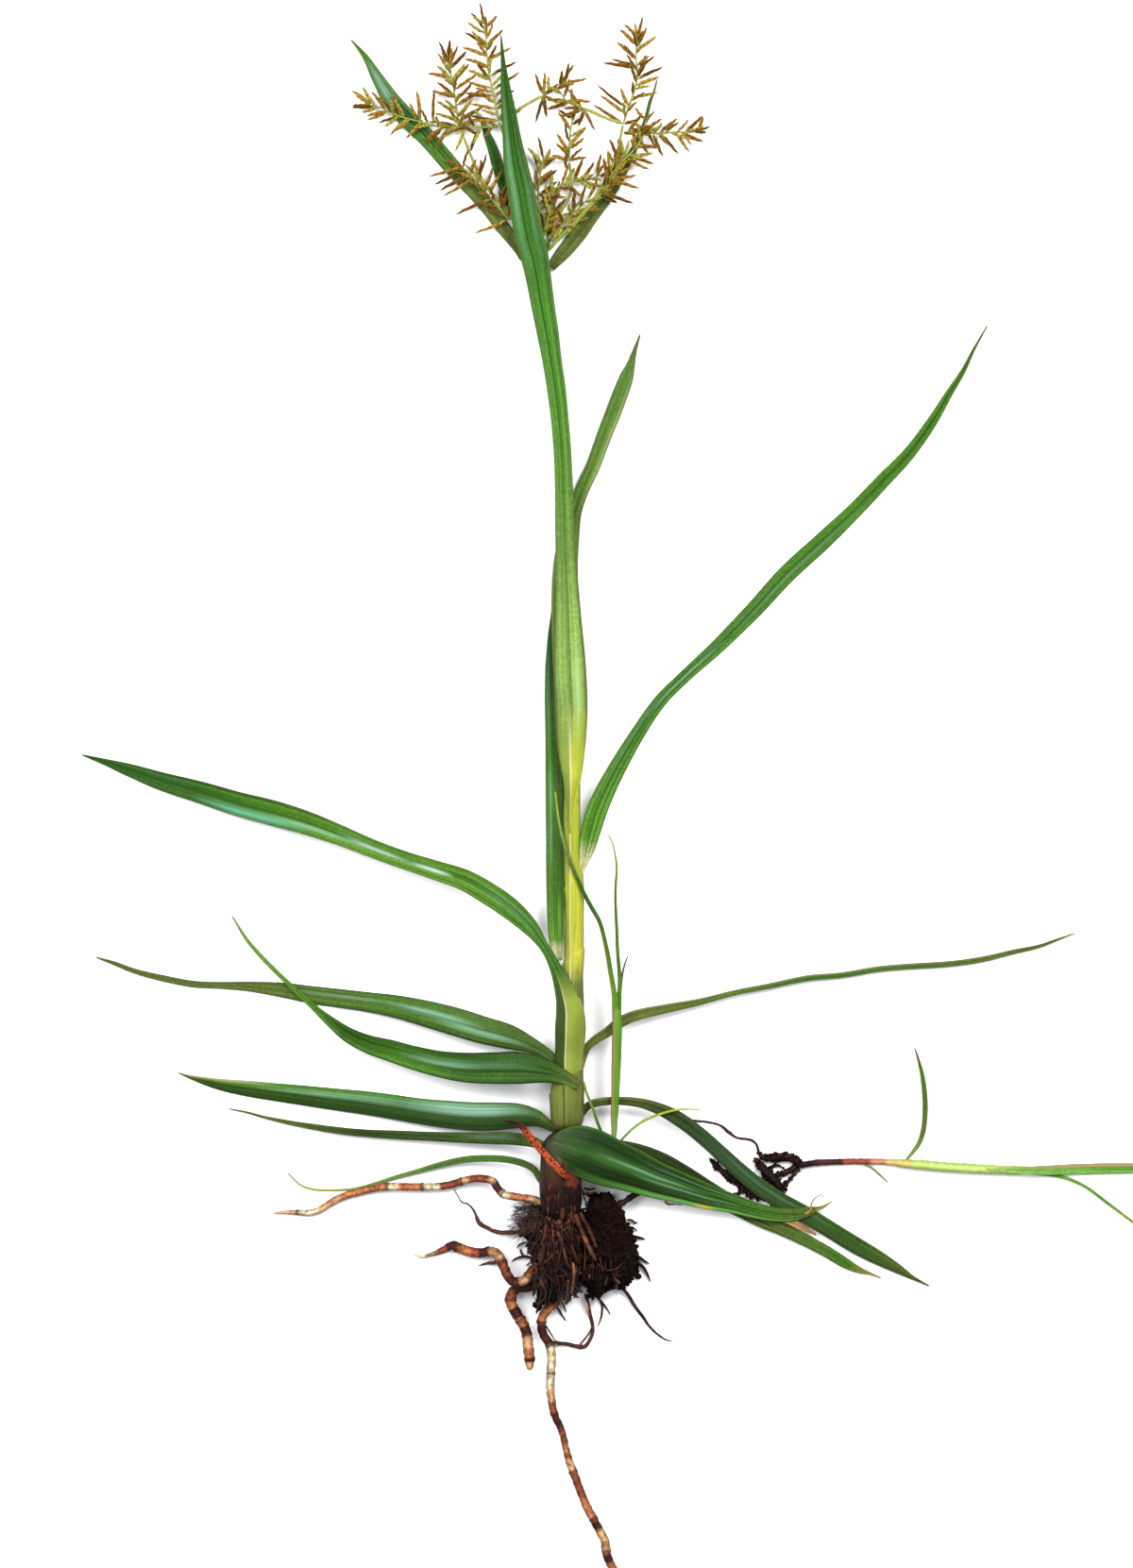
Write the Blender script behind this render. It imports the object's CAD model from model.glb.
import math
import random

import bmesh
import bpy
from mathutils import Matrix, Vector, noise
from mathutils.bvhtree import BVHTree


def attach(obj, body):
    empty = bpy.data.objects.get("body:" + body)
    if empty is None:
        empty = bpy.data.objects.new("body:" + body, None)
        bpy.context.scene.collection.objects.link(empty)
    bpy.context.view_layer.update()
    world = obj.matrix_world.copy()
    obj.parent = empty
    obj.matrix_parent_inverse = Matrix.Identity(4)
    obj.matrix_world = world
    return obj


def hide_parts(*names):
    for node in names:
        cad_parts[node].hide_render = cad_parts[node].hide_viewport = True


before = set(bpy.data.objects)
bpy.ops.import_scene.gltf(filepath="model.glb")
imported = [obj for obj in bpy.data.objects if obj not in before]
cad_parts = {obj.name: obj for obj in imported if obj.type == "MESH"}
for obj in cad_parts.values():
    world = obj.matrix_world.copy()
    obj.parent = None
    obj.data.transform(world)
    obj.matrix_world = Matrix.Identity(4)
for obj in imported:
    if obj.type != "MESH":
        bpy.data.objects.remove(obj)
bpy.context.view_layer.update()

# An uprooted tiger nut sedge, lying flat: all the places below are in millimetres, with +Y towards
# the flower head, and become metres where a mesh is made.
mm = 0.001
print("frame loaded:", len(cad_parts), "solids")


# Curves through points chosen by hand

def hermite(values, knots, at):
    i = 0
    while i < len(knots) - 2 and knots[i + 1] < at:
        i += 1
    span = knots[i + 1] - knots[i]
    u = (at - knots[i]) / span
    before, after = max(i - 1, 0), min(i + 2, len(knots) - 1)
    slopeIn = (values[i + 1] - values[before]) / (knots[i + 1] - knots[before]) * span
    slopeOut = (values[after] - values[i]) / (knots[after] - knots[i]) * span
    start = values[i] * (2 * u ** 3 - 3 * u ** 2 + 1) + slopeIn * (u ** 3 - 2 * u ** 2 + u)
    end = values[i + 1] * (3 * u ** 2 - 2 * u ** 3) + slopeOut * (u ** 3 - u ** 2)
    return start + end


def readAlong(values, share):
    # values stand at even steps from base to tip
    if not isinstance(values, (list, tuple)):
        return values
    return hermite(values, range(len(values)), share * (len(values) - 1))


def smoothRoute(points, spacing):
    rows = [Vector(point) for point in points]
    knots = [0.0]
    for last, row in zip(rows, rows[1:]):
        knots.append(knots[-1] + (row.xy - last.xy).length)
    count = max(4, round(knots[-1] / spacing))
    return [hermite(rows, knots, knots[-1] * step / count) for step in range(count + 1)]


def frameAt(route, i):
    run = (route[min(i + 1, len(route) - 1)].xyz - route[max(i - 1, 0)].xyz).normalized()
    right = run.cross(Vector((0, 0, 1)))
    right = right.normalized() if right.length > 1e-4 else Vector((1, 0, 0))
    return run, right, right.cross(run).normalized()


# Material building blocks

def addNode(tree, kind, inputs=None, **settings):
    made = tree.nodes.new("ShaderNode" + kind)
    for name, value in settings.items():
        setattr(made, name, value)
    for name, value in (inputs or {}).items():
        if isinstance(value, bpy.types.NodeSocket):
            tree.links.new(value, made.inputs[name])
        else:
            made.inputs[name].default_value = value
    return made


def addRamp(tree, factor, stops):
    ramp = addNode(tree, "ValToRGB", {"Fac": factor})
    elements = ramp.color_ramp.elements
    while len(elements) < len(stops):
        elements.new(0.5)
    for element, (place, colour) in zip(elements, stops):
        element.position = place
        element.color = (*colour, 1) if isinstance(colour, tuple) else (colour, colour, colour, 1)
    return ramp.outputs["Color"]


def addMath(tree, operation, a, b=0.0, clamp=False):
    return addNode(tree, "Math", {0: a, 1: b}, operation=operation, use_clamp=clamp).outputs[0]


def product(tree, *factors):
    found, *others = factors
    for factor in others:
        found = addMath(tree, "MULTIPLY", found, factor)
    return found


def offCentre(tree, pattern, strength):
    # a noise as a shift to both sides of nought
    return product(tree, addMath(tree, "SUBTRACT", pattern, 0.5), strength)


def addMix(tree, factor, a, b, blend="MIX"):
    mix = addNode(tree, "Mix", {"Factor": factor}, data_type="RGBA", blend_type=blend)
    for socket, value in ((mix.inputs[6], a), (mix.inputs[7], b)):
        if isinstance(value, bpy.types.NodeSocket):
            tree.links.new(value, socket)
        else:
            socket.default_value = (*value, 1)
    return mix.outputs[2]


def shadeBy(tree, strength, colour, pattern, stops):
    return addMix(tree, strength, colour, addRamp(tree, pattern, stops), "MULTIPLY")


def addNoise(tree, vector, scale, detail=3.0, roughness=0.5):
    values = {"Vector": vector, "Scale": scale, "Detail": detail, "Roughness": roughness}
    return addNode(tree, "TexNoise", values).outputs["Fac"]


def scaled(tree, vector, scale, shift=(0, 0, 0)):
    return addNode(tree, "Mapping", {"Vector": vector, "Scale": scale, "Location": shift}).outputs["Vector"]


def objectPlace(tree):
    return addNode(tree, "TexCoord").outputs["Object"]


def surfaceUv(tree):
    return addNode(tree, "UVMap", uv_map="UVMap").outputs["UV"]


def splitUp(tree, vector):
    parts = addNode(tree, "SeparateXYZ", {"Vector": vector})
    return parts.outputs["X"], parts.outputs["Y"]


def ownValue(tree, name):
    return addNode(tree, "Attribute", attribute_name=name).outputs["Fac"]


def flankOf(tree, around):
    # 1 along both sides of a round piece and 0 on its top
    return addMath(tree, "ABSOLUTE", addMath(tree, "COSINE", product(tree, around, 2 * math.pi)))


def startMaterial(name, roughness, specular):
    material = bpy.data.materials.new(name)
    material.use_nodes = True
    tree = material.node_tree
    shader = tree.nodes["Principled BSDF"]
    shader.inputs["Roughness"].default_value = roughness
    shader.inputs["Specular IOR Level"].default_value = specular
    return material, tree, shader


def addBump(tree, shader, height, depth, strength=1.0):
    bump = addNode(tree, "Bump", {"Height": height, "Distance": depth * mm, "Strength": strength})
    tree.links.new(bump.outputs["Normal"], shader.inputs["Normal"])


brightness = 2.25  # how much lighter the studio light shows a surface than its own colour


def srgb(red, green, blue):
    # a colour wanted in the picture, 0 to 255, as the surface colour that gives it
    linear = [((c / 255 + 0.055) / 1.055) ** 2.4 if c > 10 else c / 3295 for c in (red, green, blue)]
    return tuple(value / brightness for value in linear)


# Pieces are handed to the frame in one way

def handOver(mesh, name, nodes, materials, smooth=True):
    data = bpy.data.meshes.new(name)
    mesh.to_mesh(data)
    mesh.free()
    if smooth:
        data.shade_smooth()
    piece = bpy.data.objects.new(name, data)
    bpy.context.scene.collection.objects.link(piece)
    for material in materials:
        data.materials.append(material)
    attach(piece, "root")
    if nodes:
        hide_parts(*nodes)
    return piece


# Leaves and bracts

# lengths in mm; across counts the faces from margin to margin, veins the broad veins
leafBuild = {
    "step": 1.3, "across": 16, "thickness": 0.32, "finestTip": 0.3, "flatUnder": 5.0,
    "wobble": 0.03, "ripple": 0.12, "overFloor": 0.2, "sag": 0.02,
    "veins": 9, "roughness": 0.36, "specular": 0.05, "dullness": 0.46, "relief": 0.35,
}

green = {
    "deep": srgb(60, 106, 32), "leaf": srgb(80, 134, 38), "teal": srgb(84, 140, 74),
    "fresh": srgb(104, 164, 46), "pale": srgb(146, 184, 88), "yellow": srgb(206, 214, 62),
    "olive": srgb(108, 124, 54), "dark": srgb(40, 62, 22), "cream": srgb(240, 232, 176),
    "brown": srgb(126, 88, 50), "straw": srgb(206, 172, 104), "sheen": srgb(160, 214, 176),
}


def leafMaterial(name, look):
    # colours run from base to tip along v, veins and midrib lie side by side across u
    material, tree, shader = startMaterial(name, leafBuild["roughness"], leafBuild["specular"])
    uv, place = surfaceUv(tree), objectPlace(tree)
    u, v = splitUp(tree, uv)
    seed, veins = look["seed"], look.get("veins", leafBuild["veins"])
    broadVeins = addNoise(tree, scaled(tree, uv, (veins, 0.8, 1), (seed, 0, 0)), 1.0, 2.0)
    fineVeins = addNoise(tree, scaled(tree, uv, (veins * 5, 2.5, 1), (seed, 3, 0)), 1.0, 3.0)
    blotches = addNoise(tree, scaled(tree, place, (60, 60, 60), (seed, seed, 0)), 1.0, 4.0, 0.6)
    grain = addNoise(tree, place, 900.0, 2.0, 0.6)
    colour = addRamp(tree, v, look["stops"])
    colour = shadeBy(tree, 0.95, colour, broadVeins, [(0.38, 0.5), (0.45, 1.0), (0.56, 1.0), (0.63, 1.4)])
    colour = shadeBy(tree, 0.75, colour, fineVeins, [(0.34, 0.6), (0.6, 1.2)])
    colour = shadeBy(tree, 0.6, colour, blotches, [(0.3, 0.78), (0.65, 1.14)])
    colour = shadeBy(tree, 1.0, colour, grain, [(0.36, 0.82), (0.64, 1.15)])
    if "midrib" in look:
        fromMidrib = addMath(tree, "ABSOLUTE", addMath(tree, "SUBTRACT", u, look.get("midribAt", 0.5)))
        line = addRamp(tree, fromMidrib, [(0.0, 1.0), (0.03, 0.75), (0.07, 0.0)])
        midrib = look["midrib"] if isinstance(look["midrib"], tuple) else addRamp(tree, v, look["midrib"])
        colour = addMix(tree, product(tree, line, 0.8), colour, midrib)
    if "darkSide" in look:
        # one half of the blade is turned away from the light
        side = addRamp(tree, u, [(0.44, 0.0), (0.52, 1.0)])
        if look["darkSide"] == "left":
            side = addMath(tree, "SUBTRACT", 1.0, side)
        colour = addMix(tree, product(tree, side, look.get("darkness", 0.6)), colour, green["dark"])
    edge = addMath(tree, "ABSOLUTE", addMath(tree, "SUBTRACT", u, 0.5))
    edge = addRamp(tree, edge, [(0.43, 0.0), (0.49, 1.0)])
    colour = addMix(tree, product(tree, edge, 0.75), colour, look.get("edge", srgb(70, 88, 40)))
    overVeins = addRamp(tree, broadVeins, [(0.38, 0.5), (0.5, 1.0)])
    for start, end, across, spread, strength, *other in look.get("sheen", ()):
        # waxy streaks that run with the veins, or patches of another colour
        soft = (end - start) * 0.35
        along = addRamp(tree, v, [(start, 0.0), (start + soft, 1.0), (end - soft, 1.0), (end, 0.0)])
        over = addRamp(tree, u, [(max(0, across - spread), 0.0), (across, 1.0),
                                 (min(1, across + spread), 0.0)])
        streak = product(tree, along, over, strength, overVeins)
        colour = addMix(tree, streak, colour, other[0] if other else green["sheen"])
    if "sheath" in look:
        # where the blade clasps the stem its halves differ, with a pale line between them
        reach, left, right, lineAt = look["sheath"]
        wide, soft = look.get("line", 0.015), look.get("soft", 0.2)
        halves = addRamp(tree, u, [(lineAt - 2 * wide, left), (lineAt - wide, green["cream"]),
                                   (lineAt + wide, green["cream"]), (lineAt + 3 * wide, right)])
        halves = shadeBy(tree, 0.8, halves, blotches, [(0.35, 0.7), (0.62, 1.1)])
        clasp = addRamp(tree, v, [(reach * (1 - soft), 1.0), (reach * (1 + soft), 0.0)])
        colour = addMix(tree, clasp, colour, halves)
    if "specks" in look:
        specks = addRamp(tree, addNoise(tree, place, 1000.0, 2.0), [(0.53, 0.0), (0.58, 0.9)])
        colour = addMix(tree, specks, colour, look["specks"])
    tree.links.new(colour, shader.inputs["Base Color"])
    dullness = addRamp(tree, fineVeins, [(0.2, 0.3), (0.8, look.get("dullness", leafBuild["dullness"]))])
    tree.links.new(dullness, shader.inputs["Roughness"])
    height = addMath(tree, "ADD", product(tree, broadVeins, 0.8), product(tree, fineVeins, 0.5))
    addBump(tree, shader, height, leafBuild["relief"], 0.7)
    return material


def makeLeaf(name, nodes, path, heights, form, look, slot="green_leaf"):
    # path: x, y and width of the blade, base to tip; heights: of the midrib, at even steps
    route = smoothRoute([(x, y, width, 0) for x, y, width in path], leafBuild["step"])
    last = len(route) - 1
    blade = [Vector((row.x, row.y, readAlong(heights, i / last))) for i, row in enumerate(route)]
    sheet = bmesh.new()
    sheet.loops.layers.uv.new("UVMap")
    across = form.get("across", leafBuild["across"])
    bmesh.ops.create_grid(sheet, x_segments=across, y_segments=last, size=1.0, calc_uvs=True)
    seed = len(name) * 3.7 + path[0][1]
    for vertex in sheet.verts:
        s = vertex.co.x
        i = round((vertex.co.y + 1) / 2 * last)
        share = i / last
        _, right, up = frameAt(blade, i)
        width = max(route[i].z, leafBuild["finestTip"])
        half = width / 2 * (1 + leafBuild["wobble"] * noise.noise(Vector((share * 7, seed, s))))
        side = s * half
        rise = readAlong(form.get("fold", 0.5), share) * abs(s) ** 1.3
        rise += readAlong(form.get("arch", 0.3), share) * (1 - (2 * abs(s) - 1) ** 2)
        rise -= readAlong(form.get("groove", 0.18), share) * math.exp(-(s / 0.09) ** 2)
        rise += form.get("ridges", 0.05) * math.cos(math.pi * form.get("ridgeCount", 5) * s)
        rise += leafBuild["ripple"] * noise.noise(Vector((share * 23, seed, 5 * s))) * abs(s)
        rise *= min(1.0, width / leafBuild["flatUnder"])
        roll = math.radians(readAlong(form.get("roll", 0), share))
        outwards = right * (side * math.cos(roll) - rise * math.sin(roll))
        upwards = up * (side * math.sin(roll) + rise * math.cos(roll))
        vertex.co = (blade[i] + outwards + upwards) * mm
    floor = leafBuild["overFloor"] * mm
    if min(vertex.co.z for vertex in sheet.verts) < floor:
        # a margin that would dip under the floor is lifted to it
        for vertex in sheet.verts:
            vertex.co.z = max(vertex.co.z, floor + leafBuild["sag"] * abs(vertex.co.z - floor))
    leaf = handOver(sheet, name, nodes, [leafMaterial(name + "_skin", look)])
    wall = leaf.modifiers.new("thickness", "SOLIDIFY")
    wall.thickness = leafBuild["thickness"] * mm
    wall.offset = 0.0


def tones(*pairs):
    return [(place, green[colour] if isinstance(colour, str) else colour) for place, colour in pairs]


leaves = {
    "flag_leaf": dict(
        path=[(1.8, 158, 2.4), (1.6, 163, 4.6), (1.6, 172, 8.6), (1.4, 185, 10.6), (1.3, 200, 11.6),
              (0.6, 210, 11.2), (-0.4, 225, 10), (-0.3, 240, 8.8), (0.9, 250, 7.2), (2.6, 259, 5.4),
              (5.5, 267, 4.8), (9.2, 275, 4.9), (13.6, 287, 5.3), (16.4, 294, 5.6), (19, 301, 5.5),
              (21.2, 307, 4.8), (22.6, 311, 3), (24, 316, 1.5), (26, 322, 0.3)],
        heights=[4.4, 3.8, 3.4, 3.2, 2.9, 2.6, 2.2, 1.5, 1.1, 0.8, 0.5],
        form=dict(fold=[0.6, 2.6, 3.2, 2.8, 2.2, 1.2, 0.5, 0.7, 0.7, 0.5, 0], arch=0.4),
        look=dict(stops=tones((0, "yellow"), (0.12, "pale"), (0.5, "pale"), (0.6, srgb(112, 148, 60)),
                              (0.9, srgb(96, 140, 58)), (1, "olive")),
                  midrib=tones((0, "yellow"), (0.5, "pale"), (0.62, "olive"), (1, "olive")),
                  edge=srgb(112, 116, 66),
                  seed=1.0, sheen=[(0.6, 0.95, 0.92, 0.2, 0.7, srgb(196, 206, 130)),
                                   (0.12, 0.5, 0.72, 0.2, 0.5)]),
        slot="pale_leaf"),
    "long_leaf": dict(
        path=[(1.3, 146, 0.4), (1.4, 151, 1.8), (1.7, 157, 3.6), (1.9, 163, 5.4), (2.0, 168, 7),
              (2.0, 174, 8.6), (2.0, 181, 10), (2.0, 190, 10.8), (1.5, 200, 11.2), (1.1, 210, 10.6),
              (0.7, 220, 9.4), (0.3, 232, 8), (-0.2, 243, 7), (-0.6, 254, 6.6), (-1.2, 275, 6.2),
              (-2.2, 290, 6.2), (-3.5, 302, 6.6), (-5, 312, 6.8), (-6.4, 321, 7.6), (-8.2, 331, 8.2),
              (-9.8, 341, 8.9), (-11.5, 350, 9.9), (-13, 355, 10.2), (-14.7, 364, 9.9), (-16.2, 373, 9.4),
              (-18, 382, 8.2), (-19.3, 391, 6.4), (-20.4, 400, 5), (-21.4, 408, 3.5), (-22.2, 416, 1.8),
              (-23.1, 427, 0.3)],
        heights=[11.6, 11.35, 11.2, 11.0, 10.5, 10, 9.5, 9, 8.5, 8.1, 7.7, 7.4, 7.1, 6.9, 7.0, 7.4, 7.9, 8.2,
                 8.2, 8.2, 8.1],
        form=dict(fold=[-1.2, -2.4, -1.6, -0.3, 0.5, 0.9, 1.1, 1.3, 1.2, 0.8, 0],
                  arch=[0.2, 0.3, 0.3, 0.5, 0.6, 0.6],
                  groove=[-0.1, -0.25, -0.1, 0.3, 0.4, 0.4, 0.3]),
        look=dict(stops=tones((0, "yellow"), (0.05, "yellow"), (0.11, "pale"), (0.27, "pale"),
                              (0.36, srgb(116, 158, 66)), (0.5, srgb(96, 152, 52)), (0.75, srgb(66, 124, 40)),
                              (0.97, "deep")),
                  sheath=(0.12, srgb(150, 170, 68), srgb(208, 214, 66), 0.42), soft=0.4, line=0.026,
                  midrib=tones((0, "cream"), (0.12, "olive"), (0.35, "leaf"), (0.6, "deep"), (1, "deep")),
                  midribAt=0.43, edge=srgb(124, 126, 70), seed=2.0,
                  sheen=[(0.11, 0.24, 0.7, 0.18, 0.8, srgb(196, 232, 150)),
                         (0.5, 0.72, 0.64, 0.16, 0.6, srgb(96, 172, 52)), (0.7, 0.95, 0.24, 0.14, 0.4),
                         (0.7, 0.86, 0.8, 0.12, 0.25)])),
    "upright_leaf": dict(
        path=[(-2.6, 101, 2.4), (-3.1, 104, 4.4), (-3.5, 112, 5.8), (-3.7, 122, 6.3), (-3.8, 135, 6.6),
              (-3.9, 150, 6.6), (-4.2, 165, 6.2), (-4.6, 180, 5.6), (-5.3, 195, 4.6), (-5.7, 205, 3.4),
              (-5.6, 215, 2), (-5.2, 224, 0.3)],
        heights=[12.2, 9.5, 7.8, 6.2, 4.9, 3.8, 2.9, 2.1, 1.5, 1.0, 0.7],
        form=dict(fold=[0.6, 0.7, 0.6, 0.6, 0.5, 0.2], arch=0.35, roll=[4, 8, 8, 4, 0]),
        look=dict(stops=tones((0, "cream"), (0.03, "cream"), (0.06, "fresh"), (0.16, "leaf"), (0.5, "leaf"),
                              (1, "deep")),
                  darkSide="right", darkness=0.4, seed=3.0,
                  sheen=[(0.25, 0.6, 0.28, 0.16, 0.35), (0.6, 0.95, 0.3, 0.2, 0.3),
                         (0.05, 0.2, 0.7, 0.2, 0.8, srgb(108, 172, 40))])),
    "leaf_upper_right": dict(
        path=[(3.2, 126.5, 0.6), (4.6, 131, 1.6), (6, 135.5, 2.8), (7.0, 140, 5.4), (8.6, 147, 7),
              (11.5, 156, 7.2), (17.3, 168, 6.2), (25, 181, 5), (33, 192.5, 4.5), (42, 201.5, 4.4),
              (53, 211.5, 5), (66, 224.5, 5.8), (78, 237.5, 6.3), (90, 248.5, 6.2), (102, 260, 5.4),
              (112, 270.5, 5), (121, 280, 4.3), (129, 291, 3.6), (135, 301, 2.6), (140, 309, 1.7),
              (144, 317, 0.9), (148.5, 325, 0.3)],
        heights=[10.9, 9.8, 7.7, 5.6, 3.9, 2.7, 1.8, 1.2, 0.9, 0.7, 0.4],
        form=dict(fold=[0.4, 0.9, 0.9, 0.9, 0.9, 0.8, 0.6, 0.3, 0], arch=0.4, roll=[0, -6, -4, 4, 6, 4, 0]),
        look=dict(stops=tones((0, "yellow"), (0.04, "cream"), (0.07, "fresh"), (0.2, "leaf"), (0.35, "leaf"),
                              (0.9, "leaf"), (1, "olive")),
                  midrib=green["dark"], seed=4.0,
                  sheen=[(0.12, 0.34, 0.3, 0.14, 0.45), (0.4, 0.72, 0.62, 0.14, 0.4),
                         (0.3, 0.55, 0.3, 0.1, 0.3), (0.26, 0.42, 0.5, 0.14, 0.9, srgb(168, 214, 190))])),
    "leaf_upper_left": dict(
        path=[(1.0, 60.5, 9.2), (0.9, 66, 9.6), (1.2, 72, 10.2), (1.4, 78, 10.6), (1.2, 84, 9.4),
              (-0.4, 90, 7.2), (-2.9, 96.5, 4.8), (-6, 103, 3.3), (-8.7, 107.3, 3.6), (-13, 113, 6),
              (-20, 119.5, 7.7), (-28, 125, 8), (-36, 129.5, 7.6), (-45, 132.5, 7), (-56, 136, 6.4),
              (-68, 140.3, 6.4), (-80, 145.2, 7.2), (-91, 149.2, 8.3), (-103, 152.8, 9), (-116, 156.2, 8.6),
              (-130, 160.5, 7.6), (-143, 164.2, 6.3), (-154, 168, 4.5), (-163, 171, 2.2),
              (-171, 173.5, 0.3)],
        heights=[16.6, 16.8, 16, 13.6, 10.8, 8.6, 6.8, 5, 3.5, 2.4, 1.6, 1.0, 0.7, 0.4],
        form=dict(fold=[-4.2, -4.2, -0.8, 0.6, 1, 1, 1, 1.1, 1.1, 1, 0.6, 0.2, 0],
                  arch=[0.1, 0.1, 0.3, 0.5, 0.5]),
        look=dict(stops=tones((0, "olive"), (0.12, "deep"), (0.25, "leaf"), (0.4, srgb(100, 152, 46)),
                              (0.6, srgb(98, 150, 46)), (0.72, "leaf"), (0.85, "deep"), (1, "deep")),
                  midrib=green["deep"], seed=5.0, sheath=(0.14, srgb(78, 100, 42), srgb(164, 184, 74), 0.36),
                  sheen=[(0.22, 0.36, 0.6, 0.2, 0.3), (0.46, 0.59, 0.54, 0.2, 0.9, srgb(150, 206, 160)),
                         (0.39, 0.48, 0.5, 0.2, 0.9, srgb(150, 206, 160)),
                         (0.46, 0.57, 0.52, 0.12, 1.0, srgb(248, 254, 250)),
                         (0.39, 0.46, 0.48, 0.12, 1.0, srgb(248, 254, 250)),
                         (0.62, 0.82, 0.2, 0.24, 1.0, srgb(112, 192, 152)), (0.54, 0.7, 0.36, 0.14, 0.7),
                         (0.78, 0.95, 0.7, 0.2, 0.5, srgb(60, 120, 70))])),
    "leaf_mid_left": dict(
        path=[(-1, 63, 3), (-7, 68, 4), (-12, 71, 5.2), (-20, 74, 8.5), (-30, 76.6, 9.5), (-40, 79.6, 9.8),
              (-50, 82.3, 9.2), (-60, 84.6, 8), (-70, 86.2, 6.9), (-80, 87.5, 6.5), (-90, 88.8, 6),
              (-100, 90.4, 5.1), (-112, 91.7, 3.3), (-122, 92.1, 2.3), (-132, 92.6, 2.2), (-142, 94.5, 2.1),
              (-152, 97, 1.7), (-160, 100, 1.2), (-166, 102, 0.3)],
        heights=[10.4, 8.4, 6.6, 4.8, 3.2, 1.9, 1.1, 0.8, 0.6, 0.6, 0.4],
        form=dict(fold=[-0.4, -0.9, -1.3, -1, -0.6, -0.3, 0], arch=0.5, groove=0.1),
        look=dict(stops=tones((0, "olive"), (0.05, srgb(80, 108, 46)), (0.4, srgb(84, 128, 48)),
                              (0.7, "olive"), (1, "olive")),
                  edge=srgb(74, 88, 42), seed=6.0,
                  sheen=[(0.08, 0.3, 0.4, 0.2, 0.6), (0.18, 0.4, 0.56, 0.16, 1.0),
                         (0.36, 0.6, 0.6, 0.14, 0.35)])),
    "leaf_curved_left": dict(
        path=[(4.4, 57, 2.8), (1.2, 58.9, 4.2), (-3, 61, 6), (-8.5, 62.6, 8.8), (-16, 63.4, 11.2),
              (-25, 63.3, 11), (-35, 63.4, 10.5), (-45, 64.7, 9.3), (-54, 66.8, 8.4), (-62, 69.2, 7.6),
              (-70, 71.5, 6.4), (-77, 74.8, 5.1), (-84, 80, 3.3), (-90, 85.2, 2), (-96, 90.8, 1.6),
              (-102, 96.5, 1.4), (-108, 102.6, 1.3), (-113, 108.5, 1), (-118, 116.5, 0.3)],
        heights=[17.0, 15.8, 11.8, 9, 6.8, 5, 3.8, 3.2, 2.6, 1.4, 0.5],
        form=dict(fold=[0.1, 0.5, 1.2, 1.5, 1.2, 0.6, 0.2, 0], arch=0.5, ridges=0.12),
        look=dict(stops=tones((0, "olive"), (0.08, srgb(58, 98, 34)), (0.3, srgb(62, 106, 36)),
                              (0.45, "leaf"), (0.6, "deep"), (0.75, "fresh"), (1, "pale")),
                  midrib=green["deep"], edge=green["dark"], seed=7.0,
                  sheen=[(0.1, 0.4, 0.6, 0.14, 0.3), (0.24, 0.46, 0.56, 0.2, 0.6)])),
    "leaf_mid_right": dict(
        path=[(4.6, 63.5, 3), (7, 70, 2.6), (10, 73, 3), (14, 75.5, 3.4), (19, 79.3, 4), (25, 81.8, 3.9),
              (35, 84, 3.3), (47, 86.4, 2.4), (60, 89.7, 2), (72, 92, 2), (85, 94.7, 2), (97, 95.8, 2),
              (110, 97.9, 2), (122, 98.9, 2), (135, 99.7, 2), (147, 101.4, 1.9), (158, 104, 1.6),
              (167, 106, 1.2), (174, 108.5, 0.8), (179.5, 110.5, 0.3)],
        heights=[9.4, 6.9, 5.4, 3.8, 2.8, 2.1, 1.6, 1.3, 1.0, 0.7, 0.4],
        form=dict(fold=[0.3, 0.6, 0.4, 0.3, 0.3, 0.2, 0], arch=0.15),
        look=dict(stops=tones((0, "straw"), (0.03, "olive"), (0.2, "olive"), (0.5, "leaf"), (0.96, "olive"),
                              (1, "straw")),
                  edge=green["brown"], seed=8.0, sheen=[(0.04, 1.0, 0.08, 0.3, 0.8, srgb(190, 176, 138))])),
    "leaf_low_left": dict(
        path=[(-3, 41, 2.6), (-7, 43.5, 3.6), (-11, 45.5, 6), (-17, 46.3, 8.4), (-25, 46, 9.7),
              (-33, 45.9, 9.9), (-42, 46.6, 9.6), (-52, 47.8, 9), (-62, 49.3, 8.6), (-72, 50.7, 8.2),
              (-82, 51.9, 7.6), (-92, 53.1, 7), (-102, 54.3, 6.3), (-112, 55.6, 5.6), (-121, 56.9, 4.2),
              (-128, 58.4, 2.6), (-133, 59.8, 1.2), (-137, 61.2, 0.3)],
        heights=[10.2, 8.3, 6.5, 5.1, 3.8, 2.7, 2.0, 1.4, 0.9, 0.7, 0.4],
        form=dict(fold=[-0.3, -1.2, -1.6, -1.5, -1.2, -0.8, -0.3, 0], arch=0.35, groove=0.3),
        look=dict(stops=tones((0, "olive"), (0.08, "deep"), (0.25, "teal"), (0.6, "leaf"), (0.93, "leaf"),
                              (1, "straw")),
                  midrib=green["dark"], darkSide="left", darkness=0.8, seed=9.0,
                  sheen=[(0.06, 0.42, 0.72, 0.26, 1.0, srgb(176, 222, 196)), (0.3, 0.8, 0.68, 0.18, 0.7),
                         (0.74, 1.02, 0.98, 0.26, 0.9, srgb(218, 194, 158))])),
    "leaf_narrow_left": dict(
        path=[(-5, 34.6, 2.6), (-8.5, 36, 3), (-13, 37.5, 4), (-20, 38.3, 4.3), (-30, 38.4, 3.9),
              (-40, 38.6, 3.4), (-50, 39, 3.1), (-60, 39.4, 3), (-70, 39.9, 2.6), (-80, 40.8, 2.4),
              (-90, 42.3, 2), (-98, 43.7, 1.5), (-106, 45.4, 1), (-113, 47.3, 0.6), (-119, 48.5, 0.3)],
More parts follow.
